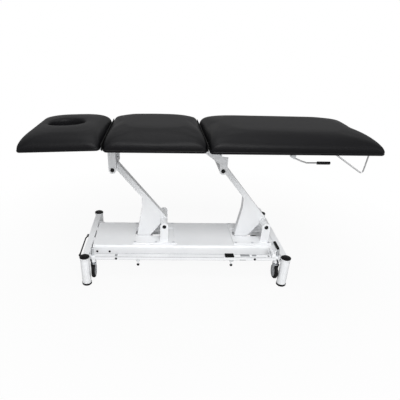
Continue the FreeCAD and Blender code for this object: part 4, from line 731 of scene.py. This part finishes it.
# %% From nodes to a plain piece
def grown(name, seed_mesh, tree, identifiers, body, slot, smooth=True, **values):
    """Runs a Geometry Nodes tree on a seed mesh and keeps the result as a piece on a body."""
    seed = bpy.data.objects.new(name + "_seed", seed_mesh)
    bpy.context.scene.collection.objects.link(seed)
    nodes_modifier = seed.modifiers.new("nodes", "NODES")
    nodes_modifier.node_group = tree
    for key, value in values.items():
        nodes_modifier[identifiers[key]] = value
    mesh = applied(seed, name)
    bpy.data.objects.remove(seed)
    bm = bmesh.new()
    bm.from_mesh(mesh)
    bmesh.ops.remove_doubles(bm, verts=bm.verts, dist=1e-6)
    bmesh.ops.recalc_face_normals(bm, faces=bm.faces)
    bm.to_mesh(mesh)
    bm.free()
    mesh.polygons.foreach_set("use_smooth", [smooth] * len(mesh.polygons))
    piece = bpy.data.objects.new(name, mesh)
    bpy.context.scene.collection.objects.link(piece)
    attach(piece, body)
    return piece


def tube_piece(name, points, radius, material, body, slot, closed=False):
    """A round tube through some points."""
    path_mesh = bpy.data.meshes.new(name + "_path")
    edges = [(i, i + 1) for i in range(len(points) - 1)]
    if closed:
        edges.append((len(points) - 1, 0))
    path_mesh.from_pydata([tuple(p) for p in points], edges, [])
    return grown(name, path_mesh, tube, TUBE_INPUTS, body, slot, Radius=radius, Material=material)


# %% [markdown]
# ## Hems and welt
# A real cover is pulled round the board's edge over a bead of foam and stapled beneath, which
# leaves a full, rounded hem below each cushion. A tube along the cushion's outline stands for
# it. The face opening has a sewn welt, a thinner tube that lies on the cover around the hole.

# %% Hem rolls
HEM_RADIUS = 0.009
HEM_AXIS_INSET = 0.0115
HEM_AXIS_CORNER = 0.013
HEM_AXIS_Z = {"head": 0.8765, "middle": 0.8675, "leg": 0.8637}
for section, (left, right_end) in SECTIONS.items():
    ring = [Vector(p) for p in outline(left + HEM_AXIS_INSET, right_end - HEM_AXIS_INSET,
                                       HALF_WIDTH - HEM_AXIS_INSET, HEM_AXIS_CORNER,
                                       HEM_AXIS_Z[section])]
    if section == "head":
        ring = [DROOP @ p for p in ring]
    hem_roll = tube_piece(section + "_hem_roll", ring, HEM_RADIUS, VINYL, BODY_OF[section],
                          "black_vinyl", closed=True)
    print(hem_roll.name, len(hem_roll.data.polygons), "faces")

# %% Welt round the face opening
WELT_RADIUS = 0.0034
welt = tube_piece("face_opening_welt", [DROOP @ p for p in rim_points], WELT_RADIUS, VINYL,
                  "head_section", "black_vinyl", closed=True)
around = sum((a - b).length for a, b in zip(rim_points, rim_points[1:] + rim_points[:1]))
print(welt.name, round(around / MM), "mm around")

# %% [markdown]
# ## Prisms and turned parts
# Strips, plates and links are cut from sheet, so a flat outline is drawn and given a
# thickness, with its edges broken by a small bevel. Hubs and screw heads are turned, so a
# profile of distances along and from an axis is spun round it.

# %% Prism and lathe helpers
EDGE_BREAK = 0.0005


def finish_mesh(bm, name, material, body, smooth):
    """Gives a mesh its outward normals, its material and its body."""
    piece = as_object(bm, name)
    piece.data.materials.append(material)
    piece.data.polygons.foreach_set("use_smooth", [smooth] * len(piece.data.polygons))
    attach(piece, body)
    return piece


def prism(name, points, direction, material, body, bevel=EDGE_BREAK):
    """A plate: a flat outline pushed along a direction, with broken edges."""
    bm = bmesh.new()
    stack_rings(bm, [points, [Vector(p) + Vector(direction) for p in points]])
    bmesh.ops.bevel(bm, geom=bm.edges[:], offset=bevel, segments=2, profile=0.5, affect="EDGES")
    return finish_mesh(bm, name, material, body, False)


def lathe(profile, centre, axis, bm, sides=40):
    """Spins a closed profile of (along, radius) pairs round an axis, into an edit mesh."""
    axis = Vector(axis).normalized()
    across = axis.orthogonal().normalized()
    third = axis.cross(across)
    rings = [[bm.verts.new(Vector(centre) + axis * along + radius
                           * (across * math.cos(t) + third * math.sin(t)))
              for t in (2 * math.pi * i / sides for i in range(sides))]
             for along, radius in profile]
    for j in range(len(rings)):
        one, other = rings[j], rings[(j + 1) % len(rings)]
        for i in range(sides):
            k = (i + 1) % sides
            bm.faces.new((one[i], one[k], other[k], other[i]))


# %% [markdown]
# ## Gap strips
# Between two cushions the board would show, so a rubber strip stands in each gap on the edge
# of the middle board. It is an extruded profile with a narrow top, drawn once across the gap
# and pushed along the table's width.

# %% Gap strips
STRIP_HALF = 0.005 / 2
STRIP_TOP = 0.904
STRIP_SHOULDER = STRIP_TOP - 0.002
STRIP_FLAT = 0.0008
STRIP_REACH = 0.334
STRIP_PROFILE = [(-STRIP_HALF, BOARD_TOP), (STRIP_HALF, BOARD_TOP), (STRIP_HALF, STRIP_SHOULDER),
                 (STRIP_FLAT, STRIP_TOP), (-STRIP_FLAT, STRIP_TOP), (-STRIP_HALF, STRIP_SHOULDER)]
for name, x in (("gap_strip_head", -0.5385), ("gap_strip_leg", 0.0325)):
    prism(name, [(x + across, -STRIP_REACH, z) for across, z in STRIP_PROFILE],
          (0, 2 * STRIP_REACH, 0), RUBBER, "top")
    print(name, "at", x)

# %% [markdown]
# ## Hubs, balls and links
# The wheels have moulded hubs with a rim and a boss, the toe levers end in moulded balls, and
# a short black link in front of each near caster joins it to the lifting gear. Hub, ball and
# pin are round, so each is one profile on the lathe; the link is a prism.

# %% Wheel hubs
HUB_PROFILE = [(0.0102, 0.0045), (0.0119, 0.0045), (0.0119, 0.0100), (0.0113, 0.0120),
               (0.0113, 0.0285), (0.0119, 0.0310), (0.0119, 0.0335), (0.0113, 0.0350),
               (0.0102, 0.0350)]
for side in ("left_near", "left_far", "right_near", "right_far"):
    low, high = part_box("caster_wheel_" + side)
    bm = bmesh.new()
    for way in (-1, 1):
        lathe(HUB_PROFILE, (Vector(low) + Vector(high)) / 2, (way, 0, 0), bm)
    finish_mesh(bm, "wheel_hub_" + side, NYLON, "wheel_" + side, True)
print("hubs", round(HUB_PROFILE[-1][1] * 2 / MM), "mm across")

# %% Lever balls
BALL_PROFILE = [(-0.0088, 0.0025), (-0.0072, 0.0060), (-0.0035, 0.0085), (0.0, 0.0092),
                (0.0035, 0.0085), (0.0072, 0.0060), (0.0088, 0.0025)]
BALL_BACK, BALL_RISE = 0.007, 0.0075
ROD_WAY = (0, 0.1, 1)
for side in ("left", "right"):
    low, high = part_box("toe_lever_" + side)
    bm = bmesh.new()
    lathe(BALL_PROFILE, ((low[0] + high[0]) / 2, low[1] + BALL_BACK, low[2] + BALL_RISE),
          ROD_WAY, bm, sides=24)
    finish_mesh(bm, "toe_ball_" + side, PLASTIC, "toe_" + side, True)
print("balls", round(2 * max(radius for _, radius in BALL_PROFILE) / MM), "mm across")

# %% Caster links
LINKS = {"right": ((0.520, 0.186), (0.5335, 0.148)), "left": ((-0.6535, 0.180), (-0.6485, 0.140))}
LINK_FRONT = -0.3266
LINK_HALF_WIDTH = 0.0036
LINK_THICK = 0.0044
PIN_PROFILE = [(0.0, 0.0015), (0.0022, 0.0045), (0.0022, 0.0058), (-0.003, 0.0058),
               (-0.003, 0.0015)]
for side, ((x1, z1), (x2, z2)) in LINKS.items():
    along = Vector((x2 - x1, 0, z2 - z1)).normalized()
    across = Vector((along.z, 0, -along.x)) * LINK_HALF_WIDTH
    top, foot = Vector((x1, LINK_FRONT, z1)), Vector((x2, LINK_FRONT, z2))
    prism("caster_link_" + side, [top + across, top - across, foot - across, foot + across],
          (0, LINK_THICK, 0), BLACK_PAINT, "caster_" + side + "_near")
    bm = bmesh.new()
    lathe(PIN_PROFILE, foot, (0, -1, 0), bm, sides=24)
    finish_mesh(bm, "caster_link_pin_" + side, BLACK_PAINT, "caster_" + side + "_near",
                True)
    print("link", side, round((foot - top).length / MM), "mm between its ends")

# %% [markdown]
# ## The head board
# The head section's board is bevelled underneath, so that it hides behind the hem. A copy of
# the CAD board keeps its face opening, and only the outer rim of its lower face is drawn in.
# The copy is turned level first, because the head section droops by two degrees.

# %% Bevelled head board
BOARD_BOTTOM = 0.856
RIM_BEVEL = 0.024
HOLE_CLEAR = 0.14
bm = bmesh.new()
bm.from_mesh(nodes["head_board"].data)
bmesh.ops.remove_doubles(bm, verts=bm.verts, dist=1e-5)
bm.transform(DROOP.inverted())
low_x, high_x = min(v.co.x for v in bm.verts), max(v.co.x for v in bm.verts)
half_y = max(v.co.y for v in bm.verts)
for v in bm.verts:
    near_hole = abs(v.co.x - FACE_HOLE["centre"]) < HOLE_CLEAR and abs(v.co.y) < HOLE_CLEAR
    if v.co.z < BOARD_BOTTOM + MM and not near_hole:
        v.co.x = min(max(v.co.x, low_x + RIM_BEVEL), high_x - RIM_BEVEL)
        v.co.y = min(max(v.co.y, RIM_BEVEL - half_y), half_y - RIM_BEVEL)
bm.transform(DROOP)
head_board = finish_mesh(bm, "head_board_bevelled", PLYWOOD, "head_section", False)
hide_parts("head_board")
print("board", round((high_x - low_x) / MM), "mm long")

# %% [markdown]
# ## Screws and bolts
# The base is bolted together, and its heads repeat, so they are instances in Geometry Nodes.
# Each place is a point with the direction of its screw stored on it. The tree makes one head
# with a washer, turns it to each direction, makes the copies real and gives them a material.

# %% Bolt tree
WASHER_SIDES = 24
WASHER_SPREAD = 1.45
WASHER_THICKNESS = 0.7
BOLT_SOCKETS = {"Radius": "NodeSocketFloat", "Height": "NodeSocketFloat",
                "Washer": "NodeSocketFloat", "Sides": "NodeSocketInt",
                "Material": "NodeSocketMaterial"}
bolt = bpy.data.node_groups.new("bolt_heads", "GeometryNodeTree")
bolt.interface.new_socket("Places", in_out="INPUT", socket_type="NodeSocketGeometry")
BOLT_INPUTS = {name: bolt.interface.new_socket(name, in_out="INPUT", socket_type=kind).identifier
               for name, kind in BOLT_SOCKETS.items()}
bolt.interface.new_socket("Bolts", in_out="OUTPUT", socket_type="NodeSocketGeometry")
given = add(bolt, "NodeGroupInput")
twice = add(bolt, "ShaderNodeMath", {"operation": "MULTIPLY"}, _0=given.outputs["Height"],
            _1=2.0)
hexagon = add(bolt, "GeometryNodeMeshCylinder", Vertices=given.outputs["Sides"],
              Radius=given.outputs["Radius"], Depth=twice.outputs[0])
thin = add(bolt, "ShaderNodeMath", {"operation": "MULTIPLY"}, _0=given.outputs["Height"],
           _1=WASHER_THICKNESS)
ring = add(bolt, "GeometryNodeMeshCylinder", Vertices=WASHER_SIDES,
           Radius=given.outputs["Washer"], Depth=thin.outputs[0])
both = add(bolt, "GeometryNodeJoinGeometry")
for made in (ring, hexagon):
    bolt.links.new(made.outputs[0], both.inputs[0])
axis = add(bolt, "GeometryNodeInputNamedAttribute", {"data_type": "FLOAT_VECTOR"}, Name="axis")
turned = add(bolt, "FunctionNodeAlignRotationToVector", {"axis": "Z"},
             Vector=axis.outputs["Attribute"])
copies = add(bolt, "GeometryNodeInstanceOnPoints", Points=given.outputs["Places"],
             Instance=both.outputs[0], Rotation=turned.outputs[0])
solid = add(bolt, "GeometryNodeRealizeInstances", Geometry=copies.outputs[0])
painted = add(bolt, "GeometryNodeSetMaterial", Geometry=solid.outputs[0],
              Material=given.outputs["Material"])
add(bolt, "NodeGroupOutput", Bolts=painted.outputs[0])
print(bolt.name, "has", len(bolt.nodes), "nodes")


# %% Place the bolts
def bolts(name, places, head, material, body, slot):
    """One mesh of bolt heads: places are pairs of a point and the way its head looks."""
    radius, height, sides = head
    seed_mesh = bpy.data.meshes.new(name + "_places")
    seed_mesh.from_pydata([spot for spot, _ in places], [], [])
    axis_rows = seed_mesh.attributes.new("axis", "FLOAT_VECTOR", "POINT")
    axis_rows.data.foreach_set("vector", [v for _, way in places for v in way])
    made = grown(name, seed_mesh, bolt, BOLT_INPUTS, body, slot, smooth=False, Radius=radius,
                 Height=height, Washer=radius * WASHER_SPREAD, Sides=sides, Material=material)
    print(name, len(places), "heads,", len(made.data.polygons), "faces")


UP, FRONT = (0, 0, 1), (0, -1, 0)
# Each head has its radius, its height and its number of sides.
PAN_SCREW = (0.0052, 0.0022, 16)
SMALL_SCREW = (0.0042, 0.0025, 16)
RAIL_BOLT = (0.0052, 0.003, 6)
PLATE_BOLT = (0.0055, 0.0035, 6)
HINGE_BOLT = (0.0048, 0.003, 6)
COVER_SIDE = 0.178
RAIL_FACE = -0.320
PLATE_TOP = 0.204
PLATE_COLUMNS = (-0.385, -0.245, -0.128, 0.290, 0.400, 0.508)
PLATE_ROWS = (-0.140, 0.140)
bolts("cover_screws", [((x, side * COVER_SIDE, z), (0, side, 0)) for side in (-1, 1)
                       for x, z in ((-0.6347, 0.1524), (-0.5525, 0.1514))],
      PAN_SCREW, BLACK_PAINT, "base", "black_steel")
bolts("rail_bolts", [((x, RAIL_FACE, 0.184), FRONT) for x in (-0.495, 0.380)],
      RAIL_BOLT, BLACK_PAINT, "base", "black_steel")
bolts("bracket_plate_bolts", [((x, y, PLATE_TOP), UP) for x in PLATE_COLUMNS for y in PLATE_ROWS],
      PLATE_BOLT, ZINC, "base", "zinc_steel")

# %% [markdown]
# ## Latch and painted shade lines of the near rail
# Small grey plates lie on the near rail where its lock and its clamp pass through, and thin
# grey tubes along the rail's edges are painted shade: they draw the dark lines that shade and
# the edges make there. Plates are prisms with square or round ends, and each shade line is a
# tube along a straight line. On top the line stops short of the foot tread, which presses down
# there.

# %% Latch on the near rail
RAIL_TOP = 0.196
PLATE_BREAK = 0.0004
END_STEP = 15


def plate_on_rail(name, left, right_end, near, far, height, round_ends=False):
    """A flat plate on the rail's top, square or with round ends."""
    points = [(left, near), (right_end, near), (right_end, far), (left, far)]
    if round_ends:
        half, middle = (far - near) / 2, (near + far) / 2
        points = [(x + half * math.cos(math.radians(a)), middle + half * math.sin(math.radians(a)))
                  for x, begin in ((right_end - half, -90), (left + half, 90))
                  for a in range(begin, begin + 181, END_STEP)]
    prism(name, [(x, y, RAIL_TOP) for x, y in points], (0, 0, height), NYLON, "base",
          bevel=PLATE_BREAK)


plate_on_rail("rail_clamp_plate", -0.503, -0.487, -0.312, -0.288, 0.0015)
plate_on_rail("rail_latch_plate", 0.292, 0.350, -0.306, -0.284, 0.002)
plate_on_rail("rail_latch_slide", 0.364, 0.394, -0.303, -0.287, 0.002, round_ends=True)
TAB_OUTLINE = ((0.285, 0.1765), (0.325, 0.1765), (0.325, 0.1805), (0.285, 0.1805))
prism("rail_latch_tab", [(x, RAIL_FACE, z) for x, z in TAB_OUTLINE], (0, -0.002, 0), NYLON,
      "base", bevel=PLATE_BREAK)
bolts("rail_top_screw", [((0.470, -0.300, RAIL_TOP), UP)], SMALL_SCREW, BLACK_PAINT, "base",
      "black_steel")

# %% Painted shade lines along the near rail
# Each painted shade line has its two ends along X, its Y and Z, and its radius.
RAIL_SHADE_LINES = {
    "rail_shade_line_back": (-0.625, 0.505, -0.2800, 0.1958, 0.0011),
    "rail_shade_line_top_left": (-0.625, 0.184, -0.3198, 0.1958, 0.0011),
    "rail_shade_line_top_right": (0.256, 0.505, -0.3198, 0.1958, 0.0011),
    "rail_shade_line_bottom": (-0.625, 0.505, -0.3198, 0.1762, 0.0006),
}
# Grey tubes along the rail's edges, standing in for the thin lines of shade there: painted shade.
for name, (begin, end, y, z, radius) in RAIL_SHADE_LINES.items():
    points = [(x, y, z) for x in (begin, (begin + end) / 2, end)]
    tube_piece(name, points, radius, NYLON, "base", "actuator_grey")
    print(name, round((end - begin) / MM), "mm long")

# %% Hinge bolt
bolts("hinge_plate_bolt", [((0.139, -0.128, 0.790), FRONT)], HINGE_BOLT, ZINC, "top",
      "zinc_steel")

# %% [markdown]
# ## Sizes and the end
# The dressed table should keep to the box of the CAD model, so both boxes are written down.

# %% Keep both boxes and finish
low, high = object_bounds()
bpy.context.scene.view_settings.view_transform = "Standard"
print("dressed box", [round(v, 3) for v in low], [round(v, 3) for v in high])
